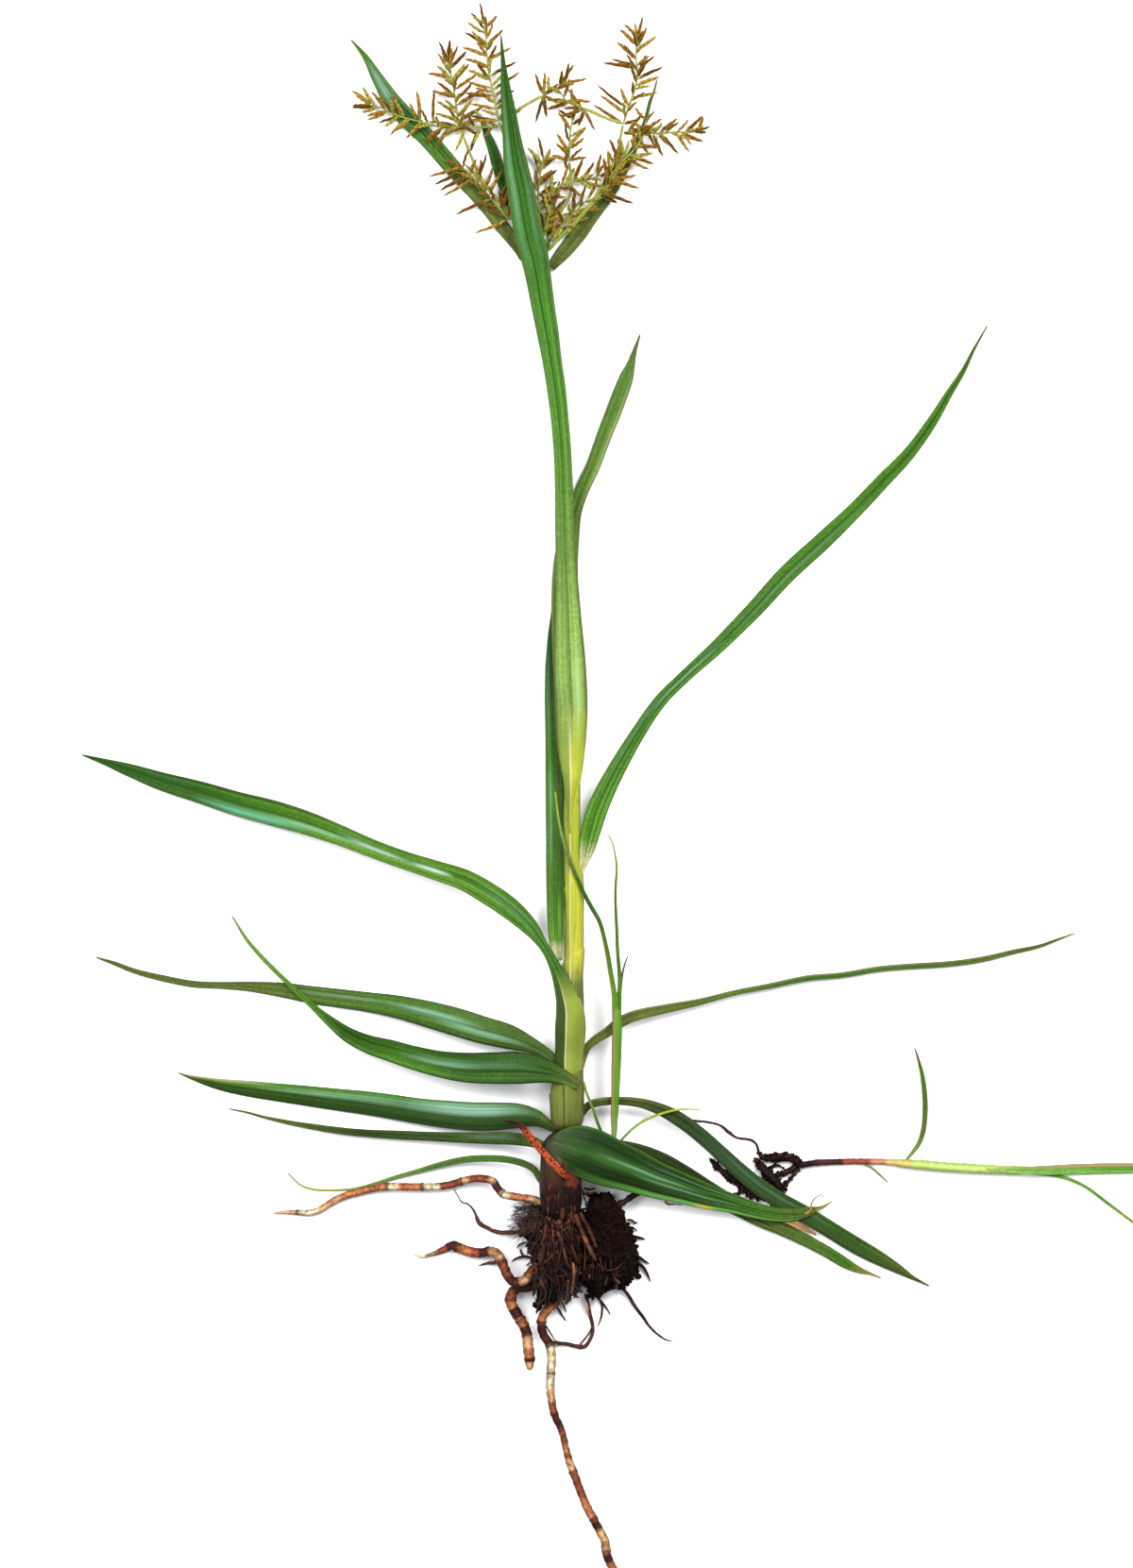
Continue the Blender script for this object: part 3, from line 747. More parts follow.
rhizomes = {
    "rhizome_left": dict(
        path=[(-6, 15, 9, 1.1), (-9, 16, 8.6, 1.1), (-12, 17, 8, 1.1), (-16, 17.5, 7.2, 1.15),
              (-20, 18, 6.4, 1.2), (-22.5, 18.8, 5.9, 1.2), (-24.5, 21, 5.4, 1.2), (-26, 23.2, 5, 1.2),
              (-29, 24, 4.6, 1.2), (-33, 24, 4.1, 1.2), (-37, 23, 3.6, 1.2), (-41, 21.8, 3.2, 1.15),
              (-45, 21.2, 2.9, 1.15), (-51, 21, 2.6, 1.15), (-57, 21, 2.4, 1.15), (-63, 21.1, 2.3, 1.15),
              (-68, 20.5, 2.2, 1.1), (-73, 19.3, 2.1, 1.1), (-78, 18, 1.9, 1.1), (-83, 15.5, 1.6, 1.1),
              (-87, 12.9, 1.4, 1.0), (-91, 11.8, 1.2, 0.95), (-95, 12, 1.1, 0.8), (-99, 12, 0.9, 0.55),
              (-103.5, 11.6, 0.6, 0.25)],
        bands=[((-6, 15), "straw"), ((-13.3, 17.2), "clay"), ((-20, 18), "cream"), ((-22.7, 19), "umber"),
               ((-25.7, 22.8), "straw"), ((-27.3, 23.7), "rust"), ((-34, 23.9), "straw"),
               ((-37.3, 23), "rust"), ((-44.7, 21.2), "cream"), ((-51, 21), "clay"), ((-60, 21), "cream"),
               ((-63.3, 21.1), "clay"), ((-80, 17.2), "straw"), ((-87, 12.9), "cream"),
               ((-95, 12), "straw")],
        joints=[(-22.4, 18.8), (-37.3, 23), (-51, 21), (-63.3, 21.1), (-95, 12)], girth=1.18),
    "rhizome_hooked": dict(
        path=[(-5, -3, 10.8, 1.4), (-9, -6, 10.6, 1.4), (-12, -8, 10, 1.4), (-13.6, -10.5, 9.5, 1.4),
              (-16, -12, 9, 1.4), (-19, -12, 7.8, 1.4), (-21, -9.5, 6.4, 1.4), (-22.5, -6, 5, 1.4),
              (-24, -3, 3.9, 1.4), (-26.5, -1.8, 3.2, 1.4), (-31, -2.3, 2.4, 1.4), (-35, -1.7, 2, 1.45),
              (-38, -0.5, 1.8, 1.45), (-40.5, 0.3, 1.7, 1.3), (-43, -1, 1.3, 1.05), (-46, -2.3, 1, 0.75),
              (-50, -3.5, 0.7, 0.45), (-51.5, -3.8, 0.6, 0.35), (-54, -2.7, 0.4, 0.2)],
        bands=[((-5, -3), "rust"), ((-13, -9.6), "straw"), ((-16, -12), "umber"), ((-20.2, -10.8), "rust"),
               ((-23, -5), "straw"), ((-27.4, -1.8), "umber"), ((-31, -2.3), "brick"), ((-34, -1.9), "clay"),
               ((-38.6, -0.3), "umber"), ((-42.4, -0.7), "rust"), ((-45.5, -2.2), "straw"),
               ((-50, -3.5), "cream")],
        joints=[(-13.4, -10.2), (-22.8, -5.4), (-27.4, -1.8), (-38.6, -0.3)], girth=1.24),
    "rhizome_stub": dict(
        path=[(-6, -10.5, 5.6, 1.5), (-9, -12, 5.2, 1.5), (-13, -14, 5, 1.5), (-17, -14.5, 4.4, 1.5),
              (-19.3, -16.5, 3.8, 1.5), (-19.5, -20, 3.2, 1.55), (-17.5, -24, 2.6, 1.5),
              (-15, -28, 2.2, 1.45), (-14, -31, 2, 1.45), (-13.5, -35, 1.9, 1.5), (-13, -40, 1.7, 1.4),
              (-13, -43.8, 1.5, 0.8)],
        bands=[((-6, -10.5), "umber"), ((-18.6, -15.6), "rust"), ((-19.6, -18.6), "clay"),
               ((-18.9, -21.6), "umber"), ((-17, -25), "clay"), ((-15, -28), "umber"),
               ((-14, -31.2), "straw"), ((-13.4, -35.6), "clay"), ((-13.1, -39.4), "umber"),
               ((-13, -40.6), "straw")],
        joints=[(-19.6, -18.6), (-16.2, -26), (-14, -31.2), (-13.1, -39.8)], girth=1.26),
    "rhizome_long": dict(
        path=[(-1, -14, 6.4, 1.5), (-3, -18.5, 5.2, 1.5), (-6, -21.5, 4.4, 1.5), (-8.3, -24.5, 3.6, 1.5),
              (-8.8, -28, 3, 1.45), (-8, -31.5, 2.4, 1.4), (-6, -34.5, 2.2, 1.45), (-5.3, -38, 2, 1.45),
              (-5.5, -45, 1.9, 1.4), (-5.7, -50, 1.8, 1.35), (-5, -56, 1.6, 1.25), (-3.8, -60.5, 1.5, 1.2),
              (-1.7, -65, 1.5, 1.15), (-0.5, -70, 1.5, 1.15), (0.7, -75, 1.5, 1.2), (2.5, -80, 1.6, 1.3),
              (4.8, -86, 1.6, 1.3), (6.8, -91, 1.6, 1.35), (9.3, -96, 1.7, 1.35), (11.5, -100, 1.7, 1.4),
              (13.5, -104, 1.7, 1.45), (14.3, -109, 1.7, 1.4), (15.5, -112, 1.6, 1.35), (17, -115, 1.5, 1.3),
              (19, -120, 1.3, 1.1), (21.5, -125, 0.8, 0.3)],
        bands=[((-1, -14), "clay"), ((-8.7, -26.6), "umber"), ((-5.8, -35.2), "butter"),
               ((-5.5, -45), "cream"), ((-5.7, -50.5), "straw"), ((-5.2, -54.7), "rust"),
               ((-4.1, -59.3), "umber"), ((-1.6, -65.3), "rust"), ((-0.4, -70.7), "clay"),
               ((0.8, -75.3), "straw"), ((2.4, -79.7), "rust"), ((6.2, -89.3), "clay"),
               ((9.6, -96.7), "umber"), ((11.5, -100), "straw"), ((14.1, -108), "umber"),
               ((15.4, -111.8), "clay")],
        joints=[(-8.7, -26.6), (-5.9, -34.8), (-5.5, -45), (-4.1, -59.3), (2.4, -79.7), (9.5, -96.3),
                (14.1, -107.6)]),
    "runner_shoot": dict(
        path=[(82, 28.5, 1.8, 1.1), (88, 29.5, 1.5, 1.05), (95, 29.8, 1.4, 1.0), (105, 30, 1.4, 0.95),
              (113, 29.8, 1.5, 1.0), (119, 29.3, 1.8, 1.4), (125, 28.8, 2, 1.6), (135, 28, 2, 1.6),
              (152, 27.1, 1.9, 1.5), (161, 26.9, 1.8, 1.4), (167, 26.9, 1.2, 0.8)],
        bands=[((82, 28.5), "night"), ((88, 29.5), "plum"), ((93, 29.7), "umber"), ((97.5, 29.8), "brick"),
               ((107, 30), "blush"), ((113, 29.8), "wax"), ((122, 29), "lime"), ((150, 27.2), "lime")],
        joints=[(88.5, 29.5)], skin=dict(flankShade=0.75, soiled=0.15)),
}


def rampOf(route, bands):
    # each band keeps one colour up to just before the next one
    last = len(route) - 1
    starts = [min(range(last + 1), key=lambda i: (route[i].xy - Vector(place)).length) / last for place,
              _ in bands]
    found = []
    for (_, colour), start, end in zip(bands, starts, starts[1:] + [1.0]):
        soft = min(0.008, (end - start) / 4)
        found += [(start + soft, earth[colour]), (end - soft, earth[colour])]
    return found


for node, spec in rhizomes.items():
    girth = spec.get("girth", 1.08)
    mesh = startTubes()
    path = [(x, y, z, radius * girth) for x, y, z, radius in spec["path"]]
    addTube(mesh, path, sides=18, step=0.5, joints=spec["joints"], rough=0.16)
    bands = rampOf(smoothRoute(spec["path"], 0.5), spec["bands"])
    finishTubes(mesh, node + "_bark", [node],
                [rootMaterial(node + "_skin", None, 0.5, bands, **spec.get("skin", {}))])
print("rhizomes:", len(rhizomes))


# Stem and culm

stem = {
    "path": [(0.1, 40.2, 11, 5.4), (0.1, 44, 11, 5.6), (0.1, 50, 11, 5.8), (0.2, 57, 11, 5.6),
             (0.5, 62, 10.9, 4.7), (0.6, 66, 10.9, 4.4), (0.9, 72, 10.7, 4.6), (1.0, 80, 10.5, 4.8),
             (1.2, 88, 10.3, 4.6), (1.7, 95, 10, 3.9), (2.4, 101, 9.8, 3.4), (2.6, 110, 9.5, 3.15),
             (2.7, 120, 9.2, 3.2), (2.6, 126, 9, 3.3), (2.3, 131, 8.9, 3.15), (2.1, 137, 8.7, 3.0),
             (1.8, 145, 8.5, 2.9), (1.75, 152, 8.3, 2.85), (1.9, 162, 8.0, 2.7), (1.9, 171.6, 7.8, 2.5)],
    "marginX": 1.3, "marginStep": 0.3, "lowMarginX": -0.9, "lowTop": 58.0,
    "collars": [(58.6, 0.55), (100.5, 0.35), (127.0, 0.3)],
}


def stemBulge(spot, angle):
    # a sheath's free margin runs up the front, and each sheath's mouth stands a little proud
    extra = 0.12 * noise.noise(Vector((spot.x * 1.5, spot.y * 0.05, spot.z * 1.5)))
    margin = stem["lowMarginX"] if spot.y < stem["lowTop"] else stem["marginX"]
    if math.sin(angle) > 0:
        extra += stem["marginStep"] / (1 + math.exp(-(spot.x - margin) / 0.12))
    for level, height in stem["collars"]:
        below = level + 0.8 * spot.x - spot.y
        if below > -0.3:
            extra += height * math.exp(-max(below, 0) / 3.5)
    return extra


def stemMaterial(name, stops, lowest, highest, lines=(), leftTint=None):
    material, tree, shader = startMaterial(name, 0.38, 0.08)
    place = objectPlace(tree)
    x, y = splitUp(tree, place)
    up = addNode(tree, "MapRange", {"Value": y, "From Min": lowest * mm, "From Max": highest * mm})
    strands = addNoise(tree, scaled(tree, place, (1100, 30, 1100)), 1.0, 3.0)
    blotch = addNoise(tree, scaled(tree, place, (160, 60, 160)), 1.0, 3.0)
    stains = addNoise(tree, scaled(tree, place, (300, 120, 300)), 1.0, 4.0, 0.65)
    colour = addRamp(tree, up.outputs["Result"], stops)
    colour = shadeBy(tree, 0.7, colour, strands, [(0.32, 0.68), (0.6, 1.15)])
    colour = shadeBy(tree, 0.6, colour, blotch, [(0.3, 0.75), (0.65, 1.15)])
    colour = addMix(tree, addRamp(tree, stains, [(0.55, 0.0), (0.7, 0.5)]), colour, green["brown"])
    for at, lineColour, upper in lines:
        # the free margin of a sheath: a line, with the part left of it darker
        fromLine = addMath(tree, "DIVIDE", addMath(tree, "SUBTRACT", x, at * mm), mm)
        level = addMath(tree, "GREATER_THAN", y, stem["lowTop"] * mm)
        level = level if upper else addMath(tree, "SUBTRACT", 1.0, level)
        left = addMath(tree, "ADD", product(tree, fromLine, 0.5), 0.5, True)
        left = addRamp(tree, left, [(0.35, 1.0), (0.5, 0.0)])
        colour = addMix(tree, product(tree, left, 0.36, level), colour, green["olive"])
        bright = addRamp(tree, addMath(tree, "ABSOLUTE", fromLine), [(0.08, 1.0), (0.35, 0.0)])
        colour = addMix(tree, product(tree, bright, 0.85, level), colour, lineColour)
    around = splitUp(tree, surfaceUv(tree))[0]
    if leftTint:
        colour = addMix(tree, addRamp(tree, around, [(0.5, 1.0), (0.64, 0.9), (0.7, 0.0)]), colour, leftTint)
    colour = shadeBy(tree, 1.0, colour, flankOf(tree, around), [(0.8, 1.0), (1.0, 0.4)])
    tree.links.new(colour, shader.inputs["Base Color"])
    addBump(tree, shader, strands, 0.25, 0.8)
    return material


mesh = startTubes()
addTube(mesh, stem["path"], sides=48, step=0.6, bulge=stemBulge)
stemSkin = stemMaterial(
    "stemSkin", [(0, green["brown"]), (0.015, srgb(60, 44, 30)), (0.03, srgb(122, 130, 60)),
                 (0.1, srgb(134, 144, 62)), (0.14, srgb(124, 132, 58)), (0.4, srgb(120, 136, 60)),
                 (0.46, srgb(206, 206, 66)), (0.66, srgb(214, 220, 64)), (0.8, srgb(190, 204, 52)),
                 (1, srgb(186, 200, 60))],
    40, 172, [(stem["marginX"], green["cream"], True), (stem["lowMarginX"], green["dark"], False)])
finishTubes(mesh, "stem_sheaths", ["sheathed_stem"], [stemSkin])

culm = [(1.9, 170, 7.8, 2.2), (2.2, 190, 7.3, 2.2), (1.5, 210, 6.9, 2.2), (0.4, 230, 6.4, 2.2),
        (-0.5, 252, 5.9, 2.2), (-1.2, 275, 5.3, 2.2), (-2.7, 300, 4.7, 2.1), (-4.7, 320, 4.2, 2.1),
        (-8.2, 348, 3.6, 2.0)]
mesh = startTubes()
addTube(mesh, culm, sides=24, step=1.5)
finishTubes(mesh, "culm_stalk", ["culm"],
            [stemMaterial("culmSkin", tones((0, "pale"), (0.5, "fresh"), (1, "pale")), 170, 350)])

sideShoot = [(2, 30.4, 12.6, 0.9), (10, 33.5, 12.2, 0.95), (15.2, 36.4, 12, 0.95), (16.6, 39, 12, 0.95),
             (16.8, 45, 12, 1.25), (17.2, 55, 12, 1.5), (17.5, 65, 12.1, 1.75), (17.8, 75, 12.3, 1.75),
             (17.8, 80, 12.4, 1.6), (17.8, 84.4, 12.4, 1.3)]
mesh = startTubes()
addTube(mesh, sideShoot, sides=20, step=0.8)
shootSkin = stemMaterial("sideShootSkin", tones((0, "brown"), (0.15, "pale"), (0.4, "fresh"), (1, "fresh")),
                         30, 85,
                         leftTint=srgb(196, 146, 104))
finishTubes(mesh, "side_shoot_sheath", ["side_shoot"], [shootSkin])
print("stem, culm and shoots")


# Crown, root mass and soil

mass = {
    "voxel": 0.5, "smoothing": 8, "seed": 11, "soilFrom": 9, "steepest": 1.6, "overEdge": 0.4,
    "crumbs": 700, "coreCrumbs": 233, "runnerCrumbs": 220,
}
rng = random.Random(mass["seed"])


def lumpFrom(node, sink, waves):
    # the solid's own form, remeshed finely, drawn in a little and roughened
    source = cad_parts[node]
    copy = bpy.data.objects.new(node + "_form", source.data.copy())
    bpy.context.scene.collection.objects.link(copy)
    merged = bmesh.new()
    merged.from_mesh(copy.data)
    bmesh.ops.remove_doubles(merged, verts=merged.verts, dist=0.001 * mm)
    merged.to_mesh(copy.data)
    merged.free()
    remesh = copy.modifiers.new("remesh", "REMESH")
    remesh.mode = "VOXEL"
    remesh.voxel_size = mass["voxel"] * mm
    fine = bpy.data.meshes.new_from_object(copy.evaluated_get(bpy.context.evaluated_depsgraph_get()))
    bpy.data.objects.remove(copy, do_unlink=True)
    lump = bmesh.new()
    lump.from_mesh(fine)
    bpy.data.meshes.remove(fine)
    for _ in range(mass["smoothing"]):
        bmesh.ops.smooth_vert(lump, verts=lump.verts, factor=0.5, use_axis_x=True, use_axis_y=True,
                              use_axis_z=True)
    lump.normal_update()
    moves = []
    for vertex in lump.verts:
        spot = vertex.co / mm
        push = -sink
        for size, height in waves:
            # waves of 2 mm and less are round crumbs with creases between them
            bump = noise.noise(spot / size)
            push += height * (bump if size > 2 else 1.4 * abs(bump) - 0.3)
        moves.append(vertex.normal * push * mm)
    for vertex, move in zip(lump.verts, moves):
        vertex.co += move
        vertex.co.z = max(vertex.co.z, 0.0)
    return lump


def soilMaterial(name, dark, light):
    material, tree, shader = startMaterial(name, 0.9, 0.03)
    place = objectPlace(tree)
    crumbs = addNoise(tree, place, 700.0, 5.0, 0.7)
    colour = addMix(tree, addNoise(tree, place, 160.0, 3.0), dark, light)
    colour = shadeBy(tree, 0.9, colour, crumbs, [(0.3, 0.35), (0.65, 1.5)])
    tree.links.new(colour, shader.inputs["Base Color"])
    addBump(tree, shader, crumbs, 0.6)
    return material


soilSkin = soilMaterial("soilSkin", srgb(20, 12, 10), srgb(44, 29, 22))
massSkin = soilMaterial("rootMassSkin", srgb(16, 9, 7), srgb(44, 24, 18))
rootSkin = rootMaterial("rootSkin", [(0.0, srgb(24, 13, 10)), (0.3, srgb(56, 28, 22)),
                                     (0.55, srgb(108, 62, 44)), (0.75, srgb(168, 104, 74)),
                                     (1.0, srgb(226, 184, 148))], 0.6)

soilLump = lumpFrom("soil_clump", sink=1.1, waves=[(7, 1.4), (3.4, 2.0), (1.8, 2.0), (0.9, 1.1)])
rootLump = lumpFrom("root_mass", sink=2.0, waves=[(8, 1.4), (3, 1.6), (1.4, 0.9)])
soilTree = BVHTree.FromBMesh(soilLump)
massTree = BVHTree.FromBMesh(rootLump)


def surfaceHeight(x, y):
    # top of the root mass or the soil at a place, in mm, or the floor
    top = 0.0
    for tree in (soilTree, massTree):
        hit = tree.ray_cast(Vector((x * mm, y * mm, 0.05)), Vector((0, 0, -1)))[0]
        if hit:
            top = max(top, hit.z / mm)
    return top


def wander(x, y, heading, length, radius, turn, lift, step, overhang=2.5):
    # a strand that creeps over the mass and ends soon after it leaves it
    points = []
    outside = 0.0
    height = surfaceHeight(x, y) + lift
    for k in range(int(length / step) + 1):
        share = k * step / length
        ground = surfaceHeight(x, y) + lift * (1 - 0.5 * share) + radius
        height = max(ground, height - mass["steepest"]) if height > ground else ground
        points.append((x, y, height, radius * (1 - 0.65 * share ** 2)))
        outside += step if ground < lift + radius + mass["overEdge"] else 0
        if (outside > overhang or x > mass["soilFrom"]) and len(points) > 3:
            break
        heading += rng.gauss(0, turn)
        x += math.cos(heading) * step
        y += math.sin(heading) * step
    return points


def addCrumbs(mesh, count, low, high, kind=0, within=lambda spot: True):
    spots = [vertex.co.copy() for vertex in mesh.verts if vertex.co.z > 0.0004 and within(vertex.co / mm)]
    for _ in range(count):
        spot = rng.choice(spots)
        size = rng.uniform(low, high) * mm
        made = bmesh.ops.create_icosphere(mesh, subdivisions=1, radius=size)
        stretch = Vector((rng.uniform(0.7, 1.3), rng.uniform(0.7, 1.3), rng.uniform(0.6, 1.0)))
        for vertex in made["verts"]:
            vertex.co = vertex.co * stretch * rng.uniform(0.8, 1.2) + spot
            vertex.co.z = max(vertex.co.z, 0.0)
        for face in {face for vertex in made["verts"] for face in vertex.link_faces}:
            face.material_index = kind


addCrumbs(soilLump, mass["crumbs"], low=0.3, high=1.2)
addCrumbs(rootLump, mass["coreCrumbs"], low=0.3, high=0.9)
handOver(soilLump, "soil_crumbs", ["soil_clump"], [soilSkin], smooth=False)
handOver(rootLump, "root_mass_core", ["root_mass"], [massSkin])

# thick roots that show on the mass, placed by hand: x, y, radius, then the strand's tone
massRoots = [
    ([(1.8, 15.5, 0.4), (2.6, 13, 0.8), (3.6, 10.5, 1.05), (5.4, 6, 1.05), (7.2, 2, 1.0), (9.2, -2, 0.9),
      (10.6, -4.6, 0.6)], 0.62),
    ([(3.2, 15.5, 0.4), (4.4, 13, 0.7), (6, 10, 0.95), (7.8, 7, 0.95), (9.4, 3.4, 0.9), (10.6, 0.2, 0.6)],
     0.56),
    ([(-4, 12, 0.6), (-3, 6, 0.75), (-1.6, 2, 0.8), (-0.6, -2, 0.7), (0.4, -6, 0.5)], 0.48),
    ([(-6, 12, 0.5), (-7.2, 8, 0.6), (-7.8, 4.6, 0.6), (-9, 1, 0.45)], 0.5),
    ([(2.2, -4.6, 0.6), (2.6, -8, 0.75), (2.3, -12, 0.7), (1.6, -16, 0.45)], 0.6),
    ([(-11.4, -4, 0.5), (-10.4, -8, 0.6), (-10.8, -12, 0.5), (-11.6, -17, 0.4)], 0.55),
    ([(-5, 9, 0.35), (-4.8, 4, 0.4), (-5.4, 0, 0.35), (-6.4, -5, 0.3)], 0.66),
    ([(1.6, 4.5, 0.35), (2.2, 0, 0.4), (3.4, -4, 0.4), (3.2, -9, 0.3)], 0.6),
    ([(10.6, -5, 0.34), (12.6, -7, 0.3), (15.4, -7.6, 0.26), (18.4, -6.4, 0.24), (20.2, -4.4, 0.16)], 0.5),
    ([(9.4, -4.6, 0.4), (8.2, -7.6, 0.4), (8, -11, 0.3)], 0.6),
    ([(-2.4, -6, 0.3), (-3.6, -10, 0.35), (-2.6, -14, 0.3), (-3.2, -18, 0.25)], 0.55),
    ([(-8, 2, 0.3), (-9.6, -3, 0.35), (-8.4, -8, 0.3), (-9.2, -13, 0.25)], 0.55),
    ([(5.6, 8, 0.35), (6.2, 3, 0.4), (6.6, -2, 0.35), (6.2, -8, 0.3)], 0.5),
]
# roots and runners clear of the mass: x, y, z, radius, then the strand's tone
looseRoots = {
    "root_loop": [([(-4.6, -33.6, 2.2, 0.7), (-2, -34.3, 1.4, 0.7), (0, -34.5, 1, 0.7), (3, -35.2, 1, 0.75),
                    (5.4, -35.6, 1, 0.8), (7, -35, 1, 0.7), (8.4, -32.8, 1.2, 0.6), (9.2, -30.6, 1.3, 0.6),
                    (9.2, -28, 1.6, 0.65), (8.3, -24, 2.2, 0.65), (7.6, -20, 3, 0.6),
                    (6.6, -16.5, 4.2, 0.6)], 0.42),
                  ([(4.6, -35, 1.2, 0.45), (6.2, -33, 1, 0.4), (8, -30.6, 1, 0.35), (9, -28.6, 1.2, 0.3)],
                   0.6),
                  ([(8.6, -26, 1.8, 0.5), (7.6, -23, 2.4, 0.55), (7, -19.6, 3.4, 0.5)], 0.95)],
    "root_thin_left": [([(-14, 5.6, 4.2, 0.6), (-20, 5, 2.4, 0.75), (-24, 5, 1.4, 0.75), (-28, 6.5, 1, 0.7),
                         (-31, 8.5, 0.9, 0.85), (-32, 11, 0.7, 0.5), (-33, 13, 0.6, 0.4), (-35, 15, 0.5, 0.3),
                         (-37, 15.6, 0.5, 0.25), (-38.5, 18, 0.4, 0.2), (-40, 20.3, 0.3, 0.12)], 0.5)],
    "root_thin_right": [([(16.4, -7, 6, 0.6), (19, -13.6, 3, 0.65), (22, -17.5, 1.6, 0.6), (24, -21, 1, 0.65),
                          (27, -25, 0.8, 0.55), (29, -28, 0.6, 0.5), (32, -31, 0.5, 0.4), (35, -33, 0.4, 0.3),
                          (37.5, -33.5, 0.3, 0.15)], 0.3)],
    "runner_root": [([(83, 28.4, 1.8, 0.9), (82, 29.6, 1.7, 1.15), (79, 31.4, 1.7, 1.35),
                      (75.6, 31.7, 1.6, 1.35), (72, 31.2, 1.5, 1.2), (69.4, 31.4, 1.2, 0.8),
                      (68, 33, 1.1, 0.5), (67, 36, 1, 0.45), (65, 37.6, 1, 0.45), (60, 38.4, 0.9, 0.4),
                      (57.6, 40, 0.8, 0.6), (54, 42.8, 0.7, 0.45), (49, 44, 0.6, 0.35), (45, 44.4, 0.6, 0.3),
                      (42, 45.4, 0.5, 0.2)], 0.3)],
    "runner": [([(17, 14, 6, 1.1), (27, 19.5, 3, 1.0), (38, 21.5, 1.2, 0.85), (50, 18.5, 0.95, 0.8),
                 (58, 17.2, 0.95, 0.7), (63, 20.5, 1.0, 0.8), (69, 23.5, 1.1, 0.8), (76, 25.8, 1.3, 0.9),
                 (81.4, 28.2, 1.7, 1.0)], 0.25),
               ([(50.6, 31, 1.4, 0.8), (53, 28.2, 1.3, 1.0), (56, 25.6, 1.3, 1.1), (59.4, 22.8, 1.2, 1.1),
                 (62.8, 20.2, 1.2, 1.0), (66, 18, 1.2, 1.1), (70, 16.8, 1.2, 0.9), (73.4, 14.6, 1.1, 0.7)],
                0.15),
               ([(66.4, 31, 1.2, 0.8), (69, 28, 1.6, 1.4), (72, 25, 1.8, 1.7), (74.6, 21.8, 1.8, 1.6),
                 (76.4, 18.8, 1.6, 1.2)], 0.15),
               ([(82, 27.4, 1.7, 0.9), (80, 25, 1.4, 0.6), (78, 22.6, 1.2, 0.7), (76.4, 20.4, 1.2, 0.5)],
                0.3),
               ([(76.5, 27.6, 1.2, 0.35), (74.4, 28.6, 1.2, 0.45), (71.6, 28, 1.4, 0.5)], 0.2),
               ([(77.6, 22.2, 1.2, 0.4), (77, 19.6, 1.1, 0.35), (75.4, 17.6, 1, 0.3)], 0.95)],
}
# short root ends round the edge of the mass, in the same order
edgeRoots = [
    ([(10, -17, 2, 0.45), (13, -20.5, 1, 0.4), (14.5, -22.5, 0.7, 0.35), (15.5, -24.4, 0.4, 0.2)], 0.3),
    ([(11.6, -18.6, 1.2, 0.4), (12.5, -21, 0.8, 0.4), (12.3, -25, 0.6, 0.35), (11, -28.5, 0.3, 0.15)], 0.3),
    ([(-4, -20, 2.5, 0.4), (-3, -22, 1.2, 0.4), (-1.5, -24.5, 0.8, 0.4), (0, -26.6, 0.4, 0.2)], 0.45),
    ([(-2, -19, 2.5, 0.4), (-1, -21, 1.2, 0.35), (0, -23.5, 0.5, 0.2)], 0.3),
    ([(21, 9.4, 3, 0.4), (23, 9.2, 1.6, 0.4), (24.4, 8.2, 0.9, 0.3), (25.4, 8.6, 0.6, 0.15)], 0.2),
    ([(21.4, 7, 3, 0.4), (23.4, 6.6, 1.6, 0.35), (25.2, 5.2, 0.7, 0.15)], 0.2),
    ([(22, 3, 3, 0.7), (24.6, 3.2, 1.6, 0.6), (28, 2.4, 0.7, 0.2)], 0.3),
    ([(23, -2, 3, 0.6), (26.4, -4.4, 1.5, 0.55), (29.4, -6.4, 0.7, 0.2)], 0.2),
    ([(24, -5, 3, 0.6), (27.4, -7.8, 1.5, 0.6), (29.8, -12.8, 0.7, 0.2)], 0.2),
    ([(-12, -4, 3, 0.45), (-15, -3.6, 1.8, 0.5), (-18, -4.4, 0.9, 0.35), (-19.4, -5.6, 0.4, 0.15)], 0.2),
    ([(-15, -3.8, 1.6, 0.35), (-16.2, -2, 1, 0.3), (-16.4, -0.6, 0.5, 0.15)], 0.2),
    ([(-14, 1.6, 2.5, 0.35), (-16.6, 0.6, 1.4, 0.35), (-17.6, -0.8, 0.5, 0.15)], 0.2),
    ([(-24, -4.6, 2.6, 0.6), (-25.4, -5.7, 1.6, 0.65), (-28, -6, 0.9, 0.55), (-31.4, -7, 0.5, 0.15)], 0.35),
    ([(6, 21, 8, 0.4), (8, 20.4, 8.4, 0.4), (10.4, 20.8, 8, 0.3)], 0.25),
    ([(5.4, 19, 8, 0.35), (8, 18.8, 8.6, 0.35), (10.4, 19.6, 8, 0.3)], 0.3),
    ([(-8, -27, 3.4, 0.3), (-6, -30, 2.4, 0.3), (-4, -33.4, 1.6, 0.25)], 0.3),
    ([(34.6, 16, 0.8, 0.3), (35.6, 14.8, 0.5, 0.3), (38, 14.8, 0.4, 0.2), (41, 14.4, 0.3, 0.1)], 0.5),
]


def drape(points):
    # a thick root lies on the high spots round it
    near = (-1.3, 0, 1.3)
    return [(x, y, max(surfaceHeight(x + a, y + b) for a in near for b in near) + radius * 0.5, radius)
            for x, y, radius in points]


